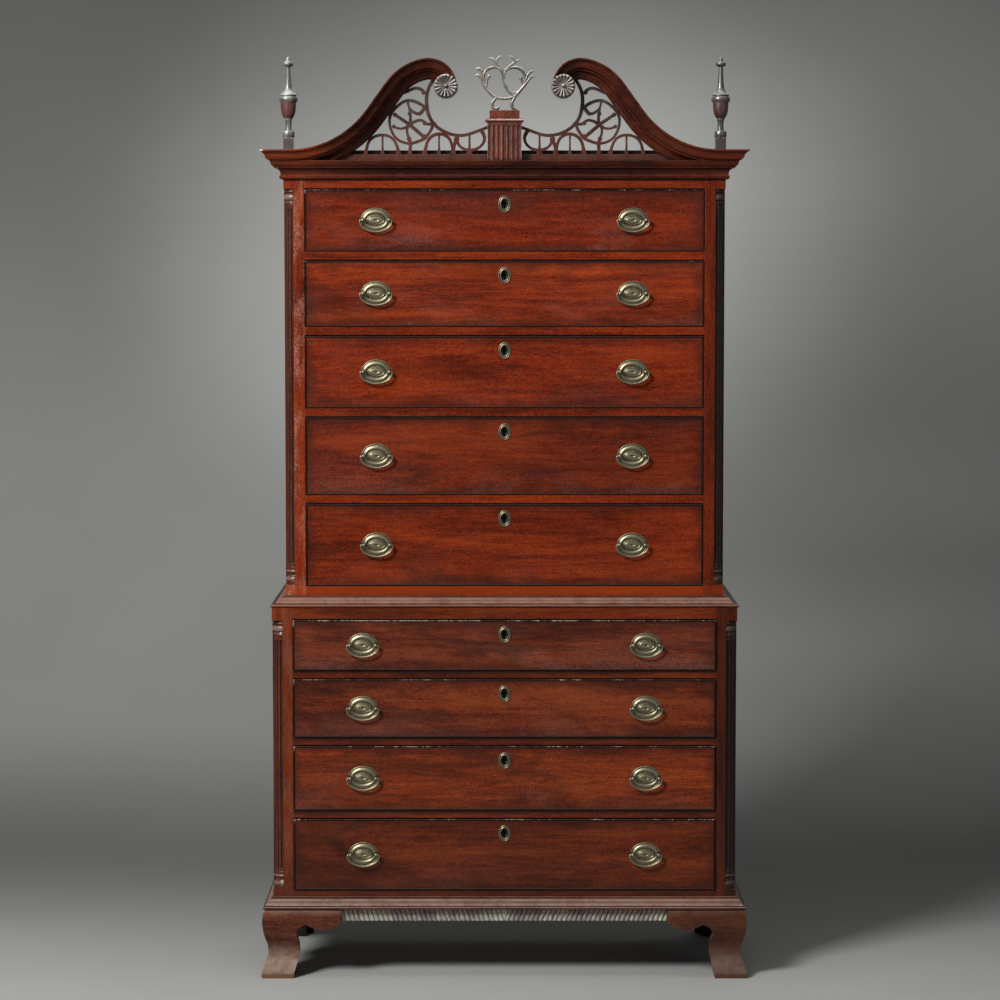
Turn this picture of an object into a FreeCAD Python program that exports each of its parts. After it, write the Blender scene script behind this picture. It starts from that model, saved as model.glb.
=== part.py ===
"""A chest on chest in cherry: five graduated drawers over four, fluted quarter columns,
a swan-neck pediment over pierced fretwork, a gadrooned apron and ogee bracket feet.

Millimetres, +Z up.  X runs along the front, Y from the front (low) to the back (high).
The origin is the middle of the overall box, on the floor.
"""
import FreeCAD, Part
import math
import os

V = FreeCAD.Vector
UP_X, UP_Y, UP_Z = V(1, 0, 0), V(0, 1, 0), V(0, 0, 1)
ORIGIN = V(0, 0, 0)

# ---------------------------------------------------------------- the two cases
LOWER_HALF_WIDTH = 555.0
LOWER_DEPTH = 500.0
CASE_STEP = 33.0              # how far the upper case stands in at the front
SIDE_STEP = 31.0              # how far it stands in at each side
BASE_REACH = 27.0             # how far the feet stand out from the lower case
CORNICE_REACH = 52.0          # how far the crown stands out from the upper case

FOOT_HEIGHT = 166.0
LOWER_BOTTOM_RAIL = 43.5
LOWER_OPENINGS = (123.0, 142.0, 157.0, 174.0)        # drawer openings, from the top down
LOWER_RAIL = 19.0
LOWER_TOP_RAIL = 28.5

UPPER_BOTTOM_RAIL = 48.0
UPPER_OPENINGS = (148.5, 158.5, 173.5, 187.5, 198.0)
UPPER_RAIL = 20.0
UPPER_TOP_RAIL = 66.0

LOWER_SIDE = 22.0             # thickness of the side boards
UPPER_SIDE = 20.0
LOWER_STILE = 23.5            # visible width of the stile beside the quarter column
UPPER_STILE = 26.0
LOWER_COLUMN = 26.0           # radius of the quarter columns
UPPER_COLUMN = 23.0
POST_DEPTH = 50.0             # stiles and rails, front to back
TENON = 8.0
BOARD = 18.0                  # bottom and top boards
HOUSING = 6.0                 # groove in the sides that takes them
BACK_THICKNESS = 12.0
BACK_RABBET = 10.0
LOWER_BACK_BOARDS = 3
UPPER_BACK_BOARDS = 4
SIDE_ABOVE_RAIL = 13.0        # the upper sides rise past the top rail to the dust board
DUST_BOARD = 12.0

# ---------------------------------------------------------------- columns
LOWER_BLOCK_BELOW = 45.0      # plain corner blocks under and over the columns
LOWER_BLOCK_ABOVE = 32.0
UPPER_BLOCK_BELOW = 51.0
UPPER_BLOCK_ABOVE = 66.0
COLUMN_BASE = 42.0
COLUMN_CAPITAL = 38.0
SHAFT_INSET = 3.0             # the shaft lies behind the face of the rings
FLUTES = 4
FLUTE_SHARE = 0.36            # flute radius as a share of the flute spacing
FLUTE_STOP = 9.0              # plain length at each end of the shaft

# ---------------------------------------------------------------- drawers
GAP_TOP = 2.2
GAP_SIDE = 1.2
GAP_BOTTOM = 1.0
RUNNING_GAP = 0.3
FRONT_THICKNESS = 22.0
LOWER_PROUD = 3.0             # the lower fronts stand a little forward of their case
UPPER_PROUD = 0.5
BEAD_WIDTH = 3.2
BEAD_PROUD = 1.7
BEAD_DEPTH = 8.0
LOWER_DRAWER_LENGTH = 468.0
UPPER_DRAWER_LENGTH = 436.0
SIDE_THICKNESS = 12.0
SIDE_DROP = 6.0               # drawer sides stop short of the top of the front
PANEL_THICKNESS = 8.0
PANEL_RISE = 9.0
PANEL_GROOVE = 5.0
TAIL_LENGTH = 14.0            # half-blind dovetails into the front
TAIL_PITCH = 42.0
TAIL_SLOPE = math.radians(9.0)
TAIL_SHARE = 0.5
STOP_SIZE = (32.0, 18.0, 5.0)
STOP_SHARE = 0.6              # where the stops stand, as a share of the half opening
RUNNER_WIDTH = 48.0
GUIDE_HEIGHT = 20.0

# ---------------------------------------------------------------- brasses
LOWER_PULL_X = 338.0
UPPER_PULL_X = 305.0
PLATE_HALF_WIDTH = 36.5
PLATE_HALF_HEIGHT = 29.5
PLATE_THICKNESS = 1.2
RIM_WIDTH = 2.6
RIM_HEIGHT = 2.4
FIELD_HALF_WIDTH = 29.5       # raised oval field between the rim and the boss
FIELD_HALF_HEIGHT = 22.0
FIELD_HEIGHT = 2.6
BOSS_HALF_WIDTH = 20.0
BOSS_HALF_HEIGHT = 10.2
BOSS_HEIGHT = 3.8
POST_HALF_SPACING = 31.0
POST_HEAD_RADIUS = 4.3
POST_COLLAR_RADIUS = 3.2
POST_SEAT_CLEARANCE = 0.3
POST_NECK_RADIUS = 2.6
POST_SHANK_RADIUS = 2.2
NUT_RADIUS = 6.0
NUT_THICKNESS = 3.5
BAIL_AXIS_OUT = 11.0
BAIL_RADIUS = 2.0
BAIL_CLEARANCE = 0.1
BAIL_CORNER = 2.4
BAIL_SHOULDER_RADIUS = 19.0
BAIL_SHOULDER_TURN = 54.0
BAIL_ARM = 38.0               # half distance between the middles of the two arms
BAIL_PIN_DEPTH = 1.5          # how far a pin passes the middle of the post head
ESCUTCHEON_DROP = 36.0
ESCUTCHEON_HALF_WIDTH = 15.0
ESCUTCHEON_HALF_HEIGHT = 20.0
ESCUTCHEON_THICKNESS = 1.6
KEYHOLE_RADIUS = 3.2
KEYHOLE_SLOT = (2.6, 11.0)
LOCK_SIZE = (64.0, 12.0, 50.0)
LOCK_MORTISE = 10.0

# ---------------------------------------------------------------- mouldings
BASE_MOULDING_HEIGHT = 28.0
WAIST_HEIGHT = 25.0
WAIST_OVERHANG = 2.0
BED_HEIGHT = 44.0
CROWN_HEIGHT = 25.0
MOULDING_CLEARANCE = 0.3

# ---------------------------------------------------------------- feet and apron
FOOT_INNER = 6.0              # inner face of the foot boards, inside the case's faces
FOOT_LENGTH = 190.0
FOOT_TOE = 78.0
FOOT_PAD = 12.0
GLUE_BLOCK = 45.0
REAR_BRACKET = 20.0
APRON_HEIGHT = 30.0
REED_PITCH = 11.5
REED_BULGE = 4.5
REED_LEAN = 10.0
REED_FORWARD = 10.0
APRON_FOOT_REACH = 3.0        # reach of the reeds at the foot of the apron

# ---------------------------------------------------------------- pediment
NECK_WIDTH = 48.0
NECK_RISE_RADIUS = 222.0
NECK_RISE_TURN = 54.0
NECK_RUN = 80.0
NECK_FALL_RADIUS = 141.0
NECK_FALL_TURN = 43.5
NECK_SCROLL_RADIUS = 67.0
NECK_SCROLL_TURN = 98.5
SCROLL_FROM_MIDDLE = 111.8    # outer edge of each scroll, beside the open middle
BAND_MARGIN = 7.0             # the fret's band lies this far inside both edges of the neck
FRET_THICKNESS = 12.0
FRET_RISE = 172.5             # height of the rosettes over the fret's foot as the fret is drawn
TYMPANUM_STRIP = 15.0
ROSETTE_INSET = 26.2          # middle of the rosette, in from the scroll's outer edge
ROSETTE_RADIUS = 28.0
ROSETTE_REACH = 57.0
ROSETTE_BOSS = 5.0            # radius of the button in the middle
ROSETTE_PETALS = 17
ROSETTE_CLEARANCE = 0.2
PLINTH_HALF_WIDTH = 40.0
PLINTH_FRONT = 26.0           # reach before the face of the upper case
PLINTH_BACK = 18.0
PLINTH_HEIGHT = 86.0
PLINTH_CAP = 12.0
PLINTH_CAP_REACH = 6.0
PLINTH_BLOCK_HALF = 35.5
PLINTH_BLOCK = 20.0
PLINTH_FLUTES = 7
PLINTH_FLUTE_RADIUS = 4.2
PLINTH_FLUTE_DEPTH = 3.4
FINIAL_THICKNESS = 12.0
FINIAL_CURL = 4.2             # radius of the balls that end its curls
URN_INSET = 10.5              # axis of the urns, in from the side of the upper case
URN_BACK = 34.0               # axis of the urns behind the face of the upper case
URN_BLOCK = 25.0
URN_BLOCK_HEIGHT = 30.0
URN_HEIGHT = 191.0
URN_RADIUS = 22.3

# ---------------------------------------------------------------- levels and planes
FRONT_REACH = max(BASE_REACH, CORNICE_REACH - CASE_STEP,
                  ROSETTE_REACH + ROSETTE_BOSS / 2 - CASE_STEP)
LOWER_FRONT = FRONT_REACH - (LOWER_DEPTH + FRONT_REACH) / 2
BACK = LOWER_FRONT + LOWER_DEPTH
UPPER_FRONT = LOWER_FRONT + CASE_STEP
UPPER_HALF_WIDTH = LOWER_HALF_WIDTH - SIDE_STEP

LOWER_BOTTOM = FOOT_HEIGHT
LOWER_TOP = (LOWER_BOTTOM + LOWER_BOTTOM_RAIL + sum(LOWER_OPENINGS)
             + LOWER_RAIL * (len(LOWER_OPENINGS) - 1) + LOWER_TOP_RAIL)
UPPER_BOTTOM = LOWER_TOP
UPPER_TOP = (UPPER_BOTTOM + UPPER_BOTTOM_RAIL + sum(UPPER_OPENINGS)
             + UPPER_RAIL * (len(UPPER_OPENINGS) - 1) + UPPER_TOP_RAIL)
BED_TOP = UPPER_TOP
CROWN_TOP = BED_TOP + CROWN_HEIGHT


# ================================================================ small helpers
def box(x0, x1, y0, y1, z0, z1):
    """A box between two corners."""
    return Part.makeBox(x1 - x0, y1 - y0, z1 - z0, V(x0, y0, z0))


def rod(centre, radius, length, axis=UP_Y):
    """A round bar from a centre point along an axis."""
    return Part.makeCylinder(radius, length, centre, axis)


def fuse(shapes):
    """One solid out of several that meet."""
    joined = shapes[0].multiFuse(shapes[1:]) if len(shapes) > 1 else shapes[0]
    return joined.removeSplitter()


def group(shapes):
    """Several separate solids kept side by side."""
    solids = [solid for shape in shapes for solid in shape.Solids]
    return Part.makeCompound(solids)


def mirrored(shape):
    """The same piece on the other side of the middle."""
    return shape.mirror(ORIGIN, UP_X)


def both_sides(shapes):
    """Left-hand pieces and their right-hand twins."""
    return list(shapes) + [mirrored(shape) for shape in shapes]


def outline(steps, place):
    """A closed face: each step is a point, or ("arc", middle, end), or ("curve", points)."""
    edges = []
    here = start = place(*steps[0])
    for step in steps[1:] + [steps[0]]:
        if step[0] == "arc":
            middle, end = place(*step[1]), place(*step[2])
            edges.append(Part.Arc(here, middle, end).toShape())
        elif step[0] == "curve":
            points = [here] + [place(*point) for point in step[1]]
            curve = Part.BSplineCurve()
            curve.interpolate(points)
            edges.append(curve.toShape())
            end = points[-1]
        else:
            end = place(*step)
            if (end - here).Length > 1e-6:
                edges.append(Part.makeLine(here, end))
        here = end
    if (here - start).Length > 1e-6:
        edges.append(Part.makeLine(here, start))
    return Part.Face(Part.Wire(edges))


def ellipse_disc(centre, half_x, half_z, y0, y1):
    """An oval plate that faces the front, from y0 to y1."""
    wide = half_x >= half_z
    major, minor = (half_x, half_z) if wide else (half_z, half_x)
    ellipse = Part.Ellipse(ORIGIN, major, minor)
    face = Part.Face(Part.Wire(ellipse.toShape()))
    if not wide:
        face.rotate(ORIGIN, UP_Z, 90)
    face.rotate(ORIGIN, UP_X, 90)
    face.translate(V(centre[0], y1, centre[1]))
    return face.extrude(V(0, y0 - y1, 0))


def revolved(profile, centre, axis=UP_Z, angle=360.0, first=UP_X):
    """Turn a (radius, height) outline about an axis through centre."""
    face = outline(profile, lambda r, h: centre + first * r + axis * h)
    return face.revolve(centre, axis, angle)


def dome(radius, height):
    """The last step of a turned outline: a quarter round from (radius, height) to the axis."""
    slant = radius * math.sqrt(0.5)
    return ("arc", (slant, height + slant), (0, height + radius))


# ================================================================ mouldings
def moulding_runs(profile, half_width, front, back, reach):
    """Front length and two returns of a moulding, mitred at the front corners.

    The profile is in (reach out from the case, height).
    """
    z_low, z_high = -1000.0, 4000.0
    left_corner, right_corner = -half_width - reach, half_width + reach
    face = outline(profile, lambda p, z: V(left_corner, front - p, z))
    front_run = face.extrude(V(right_corner - left_corner, 0, 0))
    mitre = outline([(left_corner, front - reach), (right_corner, front - reach),
                     (half_width, front), (-half_width, front)],
                    lambda x, y: V(x, y, z_low)).extrude(V(0, 0, z_high - z_low))
    face = outline(profile, lambda p, z: V(-half_width - p, front - reach, z))
    side_run = face.extrude(V(0, back - front + reach, 0))
    side_mitre = outline([(left_corner, front - reach), (-half_width, front),
                          (-half_width, back), (left_corner, back)],
                         lambda x, y: V(x, y, z_low)).extrude(V(0, 0, z_high - z_low))
    left = side_run.common(side_mitre)
    return [front_run.common(mitre), left, mirrored(left)]


def base_moulding_profile():
    """A cyma over a bead, with its foot level with the bottom of the case."""
    foot, top = LOWER_BOTTOM, LOWER_BOTTOM + BASE_MOULDING_HEIGHT
    return [(0, foot), (21, foot), ("arc", (24, foot + 3.2), (21, foot + 6.4)),
            (20, foot + 7.2), ("arc", (14.5, foot + 11), (11.5, foot + 16)),
            ("arc", (9, foot + 20), (4.5, foot + 22.5)), (3, foot + 22.5), (3, top), (0, top)]


def waist_profile():
    """The moulding that holds the upper case in place on the lower one."""
    foot, top = LOWER_TOP, LOWER_TOP + WAIST_HEIGHT
    inner, nose = MOULDING_CLEARANCE, CASE_STEP + WAIST_OVERHANG
    return [(inner, foot), (nose - 2.4, foot), ("arc", (nose, foot + 3), (nose - 2.4, foot + 6)),
            (nose - 4, foot + 7), ("arc", (nose - 12, foot + 9), (nose - 17, foot + 14)),
            ("arc", (nose - 21, foot + 19), (nose - 29, foot + 21.5)), (5, foot + 21.5),
            (5, top), (inner, top)]


def bed_profile():
    """The level part of the cornice: bead, cove and ovolo."""
    foot, top = BED_TOP - BED_HEIGHT, BED_TOP
    return [(0, foot), (4, foot), ("arc", (9, foot + 5.5), (5.5, foot + 11)), (6.5, foot + 12.5),
            ("arc", (10, foot + 22), (19, foot + 27)), (21.5, foot + 27), (21.5, foot + 30),
            ("arc", (27, foot + 34), (28.5, foot + 40)), (30, foot + 40), (30, top), (0, top)]


def crown_steps(place):
    """The crown's face from its top edge down: fillet, cyma and step, in (down, reach)."""
    reach = CORNICE_REACH
    return [place(0, 0), place(0, reach), place(4, reach), place(5, reach - 2),
            ("arc", place(9.5, reach - 8), place(15, reach - 11)),
            ("arc", place(21, reach - 14), place(CROWN_HEIGHT, reach - 21))]


def crown_profile():
    """The crown of the side returns, in (reach, height)."""
    steps = crown_steps(lambda down, reach: (reach, CROWN_TOP - down))
    return steps + [(0, BED_TOP)]


def neck_profile():
    """The whole swan-neck section, in (in from the top edge, reach)."""
    steps = crown_steps(lambda down, reach: (down, reach))
    cove, fillet = CROWN_HEIGHT + 3, NECK_WIDTH - 7.5
    return steps + [(CROWN_HEIGHT, 29), (cove, 29), (cove, 27),
                    ("arc", (cove + (fillet - cove) * 0.3, 18), (fillet, 13.5)),
                    (fillet + 2.5, 13.5), (fillet + 2.5, 9.5), (NECK_WIDTH, 8), (NECK_WIDTH, 0)]


def neck_moves():
    """The lengths of the left neck's top edge, from the corner to the end of its scroll."""
    rise = math.radians(NECK_RISE_TURN)
    crest = rise - math.radians(NECK_FALL_TURN)
    last = crest - math.radians(NECK_SCROLL_TURN)
    across = (NECK_RISE_RADIUS * math.sin(rise) + NECK_RUN * math.cos(rise)
              + NECK_FALL_RADIUS * (math.sin(rise) - math.sin(crest))
              + NECK_SCROLL_RADIUS * (math.sin(crest) - math.sin(last)))
    level = UPPER_HALF_WIDTH + CORNICE_REACH - SCROLL_FROM_MIDDLE - across
    return [("run", level), ("left", NECK_RISE_RADIUS, NECK_RISE_TURN), ("run", NECK_RUN),
            ("right", NECK_FALL_RADIUS, NECK_FALL_TURN),
            ("right", NECK_SCROLL_RADIUS, NECK_SCROLL_TURN)]


def neck_stations():
    """Where each length of the neck starts, and where the last one ends: (x, z, heading)."""
    x, z, heading = -UPPER_HALF_WIDTH - CORNICE_REACH, CROWN_TOP, 0.0
    stations = [(x, z, heading)]
    for move in neck_moves():
        if move[0] == "run":
            x, z = x + move[1] * math.cos(heading), z + move[1] * math.sin(heading)
        else:
            side = 1.0 if move[0] == "right" else -1.0
            after = heading - side * math.radians(move[2])
            x += side * move[1] * (math.sin(heading) - math.sin(after))
            z += side * move[1] * (math.cos(after) - math.cos(heading))
            heading = after
        stations.append((x, z, heading))
    return stations


def along_neck(profile, front):
    """Sweep a (in from the edge, reach) outline along the left swan neck."""
    pieces = []
    for move, (x, z, heading) in zip(neck_moves(), neck_stations()):
        inward = (math.sin(heading), -math.cos(heading))
        face = outline(profile, lambda n, p: V(x + n * inward[0], front - p, z + n * inward[1]))
        if move[0] == "run":
            ahead = V(math.cos(heading), 0, math.sin(heading))
            pieces.append(face.extrude(ahead * move[1]))
        else:
            side = 1.0 if move[0] == "right" else -1.0
            centre = V(x + side * move[1] * inward[0], 0, z + side * move[1] * inward[1])
            pieces.append(face.revolve(centre, UP_Y, side * move[2]))
    return fuse(pieces)


# ================================================================ the cases
def rail_levels(bottom, bottom_rail, openings, rail):
    """Bottom and top of each drawer opening, from the top drawer down."""
    levels = []
    z = bottom + bottom_rail
    for height in reversed(openings):
        levels.append((z, z + height))
        z += height + rail
    return list(reversed(levels))


def face_frame(half, front, bottom, top, levels, column, stile, side, block_below, block_above):
    """Corner posts with their column recess, and the rails tenoned into them."""
    opening = half - column - stile
    edges = [bottom] + [z for level in reversed(levels) for z in level] + [top]
    rails = []
    for low, high in zip(edges[0::2], edges[1::2]):
        rails.append(box(-opening - TENON, opening + TENON, front, front + POST_DEPTH, low, high))
    core = box(-half + side, -opening, front + column, front + POST_DEPTH, bottom, top)
    stile_part = box(-half + column, -opening, front, front + column, bottom, top)
    blocks = [box(-half, -half + column, front, front + column, bottom, bottom + block_below),
              box(-half, -half + column, front, front + column, top - block_above, top)]
    post = fuse([core, stile_part] + blocks).cut(Part.makeCompound(rails))
    return both_sides([post]) + rails


def carcass(half, front, bottom, side_top, side, column, board_levels):
    """Side boards with their housings and back rabbets, and the boards between them."""
    side_board = box(-half, -half + side, front + column, BACK, bottom, side_top)
    rabbet = box(-half + side - BACK_RABBET, -half + side, BACK - BACK_THICKNESS, BACK,
                 bottom, side_top)
    inner = half - side
    boards = []
    for low in board_levels:
        boards.append(box(-inner - HOUSING, inner + HOUSING, front + POST_DEPTH,
                          BACK - BACK_THICKNESS, low, low + BOARD))
    side_board = side_board.cut(Part.makeCompound([rabbet] + boards))
    return both_sides([side_board]) + boards


def backboards(half, side, bottom, top, count):
    """Level boards nailed into the rabbets of the sides."""
    reach = half - side + BACK_RABBET
    step = (top - bottom) / count
    return [box(-reach, reach, BACK - BACK_THICKNESS, BACK, bottom + i * step,
                bottom + (i + 1) * step) for i in range(count)]


def runners(half, front, side, column, stile, levels, rail, proud, kicker_height):
    """Runners and guides beside each drawer, the stops behind it and the top kickers."""
    opening = half - column - stile
    start, end = front + POST_DEPTH, BACK - BACK_THICKNESS
    stop_width, stop_depth, stop_height = STOP_SIZE
    stop_y = front - proud + FRONT_THICKNESS
    inner = half - side
    left = []
    for low, _high in levels:
        left.append(box(-inner, -inner + RUNNER_WIDTH, start, end, low - rail, low))
        left.append(box(-inner, -opening, start, end, low, low + GUIDE_HEIGHT))
        left.append(box(-opening * STOP_SHARE - stop_width, -opening * STOP_SHARE, stop_y,
                        stop_y + stop_depth, low, low + stop_height))
    top = levels[0][1]
    left.append(box(-inner, -inner + RUNNER_WIDTH, start, end, top, top + kicker_height))
    return both_sides(left)


# ================================================================ quarter columns
def quarter_column(half, front, radius, bottom, top):
    """Base rings, fluted shaft and capital, a quarter round each, for the left corner."""
    centre = V(-half + radius, front + radius, bottom)
    outward = V(-1, 0, 0)
    shaft_radius = radius - SHAFT_INSET
    shaft_low, shaft_high = COLUMN_BASE, top - bottom - COLUMN_CAPITAL
    base = revolved([(0, 0), (radius, 0), (radius, 9), (radius - 1.5, 9),
                     ("arc", (radius, 13.5), (radius - 1.5, 18)), (radius - 3, 19),
                     ("arc", (radius - 5, 24), (radius - 3, 29)),
                     ("arc", (radius - 0.8, 32), (radius - 3, 35)), (shaft_radius, 36),
                     (shaft_radius, shaft_low), (0, shaft_low)],
                    centre, UP_Z, 90.0, outward)
    height = top - bottom
    capital = revolved([(0, shaft_high), (shaft_radius, shaft_high),
                        ("arc", (radius - 0.8, shaft_high + 3.5), (shaft_radius, shaft_high + 7)),
                        (shaft_radius - 1, shaft_high + 9.5),
                        ("arc", (radius, shaft_high + 18), (shaft_radius - 1, shaft_high + 26.5)),
                        (shaft_radius, shaft_high + 28.5),
                        ("arc", (radius, shaft_high + 31.5), (shaft_radius, shaft_high + 34.5)),
                        (shaft_radius, height), (0, height)],
                       centre, UP_Z, 90.0, outward)
    shaft = revolved([(0, shaft_low), (shaft_radius, shaft_low), (shaft_radius, shaft_high),
                      (0, shaft_high)], centre, UP_Z, 90.0, outward)
    spacing = 90.0 / FLUTES
    flute_radius = shaft_radius * math.radians(spacing) * FLUTE_SHARE
    flutes = []
    for i in range(FLUTES):
        angle = math.radians(180.0 + spacing * (i + 0.5))
        foot = centre + V(math.cos(angle) * shaft_radius, math.sin(angle) * shaft_radius,
                          shaft_low + FLUTE_STOP)
        flutes.append(rod(foot, flute_radius, shaft_high - shaft_low - 2 * FLUTE_STOP, UP_Z))
    return [base, shaft.cut(Part.makeCompound(flutes)), capital]


# ================================================================ drawers
def tails(y_joint, length, x0, x1, z0, z1, outward):
    """Dovetails that leave a side board at y_joint, towards outward (-1 front, 1 back)."""
    count = max(2, round((z1 - z0) / TAIL_PITCH))
    pitch = (z1 - z0) / count
    narrow = pitch * TAIL_SHARE / 2
    wide = narrow + length * math.tan(TAIL_SLOPE)
    result = []
    for i in range(count):
        middle = z0 + (i + 0.5) * pitch
        face = outline([(y_joint, middle - narrow), (y_joint + outward * length, middle - wide),
                        (y_joint + outward * length, middle + wide), (y_joint, middle + narrow)],
                       lambda y, z: V(x0, y, z))
        result.append(face.extrude(V(x1 - x0, 0, 0)))
    return result


def cock_bead(half, z0, z1, face_y):
    """The small rounded bead let in around the edge of a drawer front."""
    y0, y1 = face_y - BEAD_PROUD, face_y + BEAD_DEPTH
    outer = box(-half, half, y0, y1, z0, z1)
    inner = box(-half + BEAD_WIDTH, half - BEAD_WIDTH, y0, y1, z0 + BEAD_WIDTH, z1 - BEAD_WIDTH)
    ring = outer.cut(inner)
    nose = [edge for edge in ring.Edges
            if all(abs(vertex.Y - y0) < 1e-6 for vertex in edge.Vertexes)]
    return ring.makeFillet(BEAD_WIDTH * 0.44, nose)


def keyhole(x, z, y0, y1):
    """The keyhole's round and slot as one cutter."""
    slot_width, slot_drop = KEYHOLE_SLOT
    return fuse([rod(V(x, y0, z), KEYHOLE_RADIUS, y1 - y0),
                 box(x - slot_width / 2, x + slot_width / 2, y0, y1, z - slot_drop, z)])


def drawer_sizes(half_opening, front, level, proud, length):
    """The places that a drawer and its brasses share."""
    low, high = level
    return {"half": half_opening - GAP_SIDE, "z0": low + GAP_BOTTOM, "z1": high - GAP_TOP,
            "side_foot": low + RUNNING_GAP, "face": front - proud,
            "joint": front - proud + FRONT_THICKNESS, "end": front - proud + length,
            "middle": (low + high) / 2, "keyhole": high - ESCUTCHEON_DROP}


def drawer(size, pull_x):
    """Front, cock bead, dovetailed sides and back, and the bottom panel in its grooves."""
    half, joint, end = size["half"], size["joint"], size["end"]
    z0, z1 = size["z0"], size["z1"]
    foot, side_top = size["side_foot"], z1 - SIDE_DROP
    inner = half - SIDE_THICKNESS
    panel_low = z0 + PANEL_RISE
    panel_high = panel_low + PANEL_THICKNESS
    back_y = end - SIDE_THICKNESS
    front_tails = tails(joint, TAIL_LENGTH, -half, -inner, panel_high, side_top, -1)
    back_tails = tails(back_y, SIDE_THICKNESS, -half, -inner, panel_high, side_top, 1)
    bead = cock_bead(half, z0, z1, size["face"])
    panel = fuse([box(-inner - PANEL_GROOVE, inner + PANEL_GROOVE, joint, end, panel_low,
                      panel_high),
                  box(-inner, inner, joint - PANEL_GROOVE, joint, panel_low, panel_high)])
    side = fuse([box(-half, -inner, joint, back_y, foot, side_top),
                 box(-half, -inner, back_y, end, foot, panel_high)] + front_tails + back_tails)
    side = side.cut(panel)
    back = box(-half, half, back_y, end, panel_high, side_top)
    back = back.cut(Part.makeCompound(both_sides(back_tails)))
    board = box(-half, half, size["face"], joint, z0, z1)
    cuts = both_sides(front_tails) + [panel, bead_recess(half, z0, z1, size["face"])]
    cuts += [keyhole(0, size["keyhole"], size["face"], joint), lock_case(size, 0.0)]
    cuts += [rod(V(x, size["face"], size["middle"]), POST_SHANK_RADIUS, FRONT_THICKNESS)
             for x in post_places(pull_x)]
    board = board.cut(Part.makeCompound(cuts))
    return [board, bead] + both_sides([side]) + [back, panel]


def bead_recess(half, z0, z1, face_y):
    """The rabbet that the cock bead fills."""
    outer = box(-half, half, face_y, face_y + BEAD_DEPTH, z0, z1)
    inner = box(-half + BEAD_WIDTH, half - BEAD_WIDTH, face_y, face_y + BEAD_DEPTH,
                z0 + BEAD_WIDTH, z1 - BEAD_WIDTH)
    return outer.cut(inner)


# ================================================================ brasses
def post_places(pull_x):
    """Where the four bail posts of a drawer stand, along X."""
    return [side * pull_x + end * POST_HALF_SPACING for side in (-1, 1) for end in (-1, 1)]


def pull_plate(x, z, face_y):
    """Oval back plate with a rolled rim, a raised field and a boss in its middle."""
    back = ellipse_disc((x, z), PLATE_HALF_WIDTH, PLATE_HALF_HEIGHT, face_y - PLATE_THICKNESS,
                        face_y)
    rim = ellipse_disc((x, z), PLATE_HALF_WIDTH, PLATE_HALF_HEIGHT, face_y - RIM_HEIGHT, face_y)
    rim = rim.cut(ellipse_disc((x, z), PLATE_HALF_WIDTH - RIM_WIDTH,
                               PLATE_HALF_HEIGHT - RIM_WIDTH, face_y - RIM_HEIGHT, face_y))
    field = oval_boss((x, z), FIELD_HALF_WIDTH, FIELD_HALF_HEIGHT, FIELD_HEIGHT, face_y)
    boss = oval_boss((x, z), BOSS_HALF_WIDTH, BOSS_HALF_HEIGHT, BOSS_HEIGHT, face_y)
    plate = fuse([back, rim, field, boss])
    reach = max(RIM_HEIGHT, FIELD_HEIGHT)
    cuts = []
    for end in (-1, 1):
        place = V(x + end * POST_HALF_SPACING, face_y - reach, z)
        cuts.append(rod(place, POST_SHANK_RADIUS, reach))
        cuts.append(rod(place, POST_COLLAR_RADIUS + POST_SEAT_CLEARANCE, reach - PLATE_THICKNESS))
    return plate.cut(Part.makeCompound(cuts))


def oval_boss(centre, half_x, half_z, height, face_y):
    """An oval swelling with a bevelled edge."""
    disc = ellipse_disc(centre, half_x, half_z, face_y - height, face_y)
    nose = [edge for edge in disc.Edges if abs(edge.BoundBox.YMax - face_y + height) < 1e-3]
    return disc.makeChamfer((height - PLATE_THICKNESS) * 0.9, nose)


def bail_post(x, z, face_y, joint_y):
    """Post with a bored round head, a collar on the plate, a shank and its nut."""
    head, neck, shank = POST_HEAD_RADIUS, POST_NECK_RADIUS, POST_SHANK_RADIUS
    tip = BAIL_AXIS_OUT + head
    collar = PLATE_THICKNESS
    end = -FRONT_THICKNESS - NUT_THICKNESS - 1
    profile = [(0, end), (shank, end), (shank, collar), (POST_COLLAR_RADIUS, collar),
               (POST_COLLAR_RADIUS, collar + 1.2), (neck, BAIL_AXIS_OUT - head * 0.8),
               (head * 0.86, BAIL_AXIS_OUT - head * 0.5), (head, BAIL_AXIS_OUT),
               (head * 0.86, BAIL_AXIS_OUT + head * 0.5), (head * 0.4, tip - 0.4), (0, tip)]
    post = revolved(profile, V(x, face_y, z), V(0, -1, 0))
    bore = rod(V(x - head, face_y - BAIL_AXIS_OUT, z), BAIL_RADIUS + BAIL_CLEARANCE, 2 * head,
               UP_X)
    nut = rod(V(x, joint_y, z), NUT_RADIUS, NUT_THICKNESS)
    nut = nut.cut(rod(V(x, joint_y, z), shank, NUT_THICKNESS))
    return [post.cut(bore), nut]


def lock_case(size, clearance):
    """The closed case of the drawer lock, let into the back of the front."""
    width, depth, height = LOCK_SIZE
    top = size["z1"] - BEAD_WIDTH
    y0 = size["joint"] - LOCK_MORTISE
    return box(-width / 2 - clearance, width / 2 + clearance, y0, y0 + depth, top - height, top)


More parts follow.
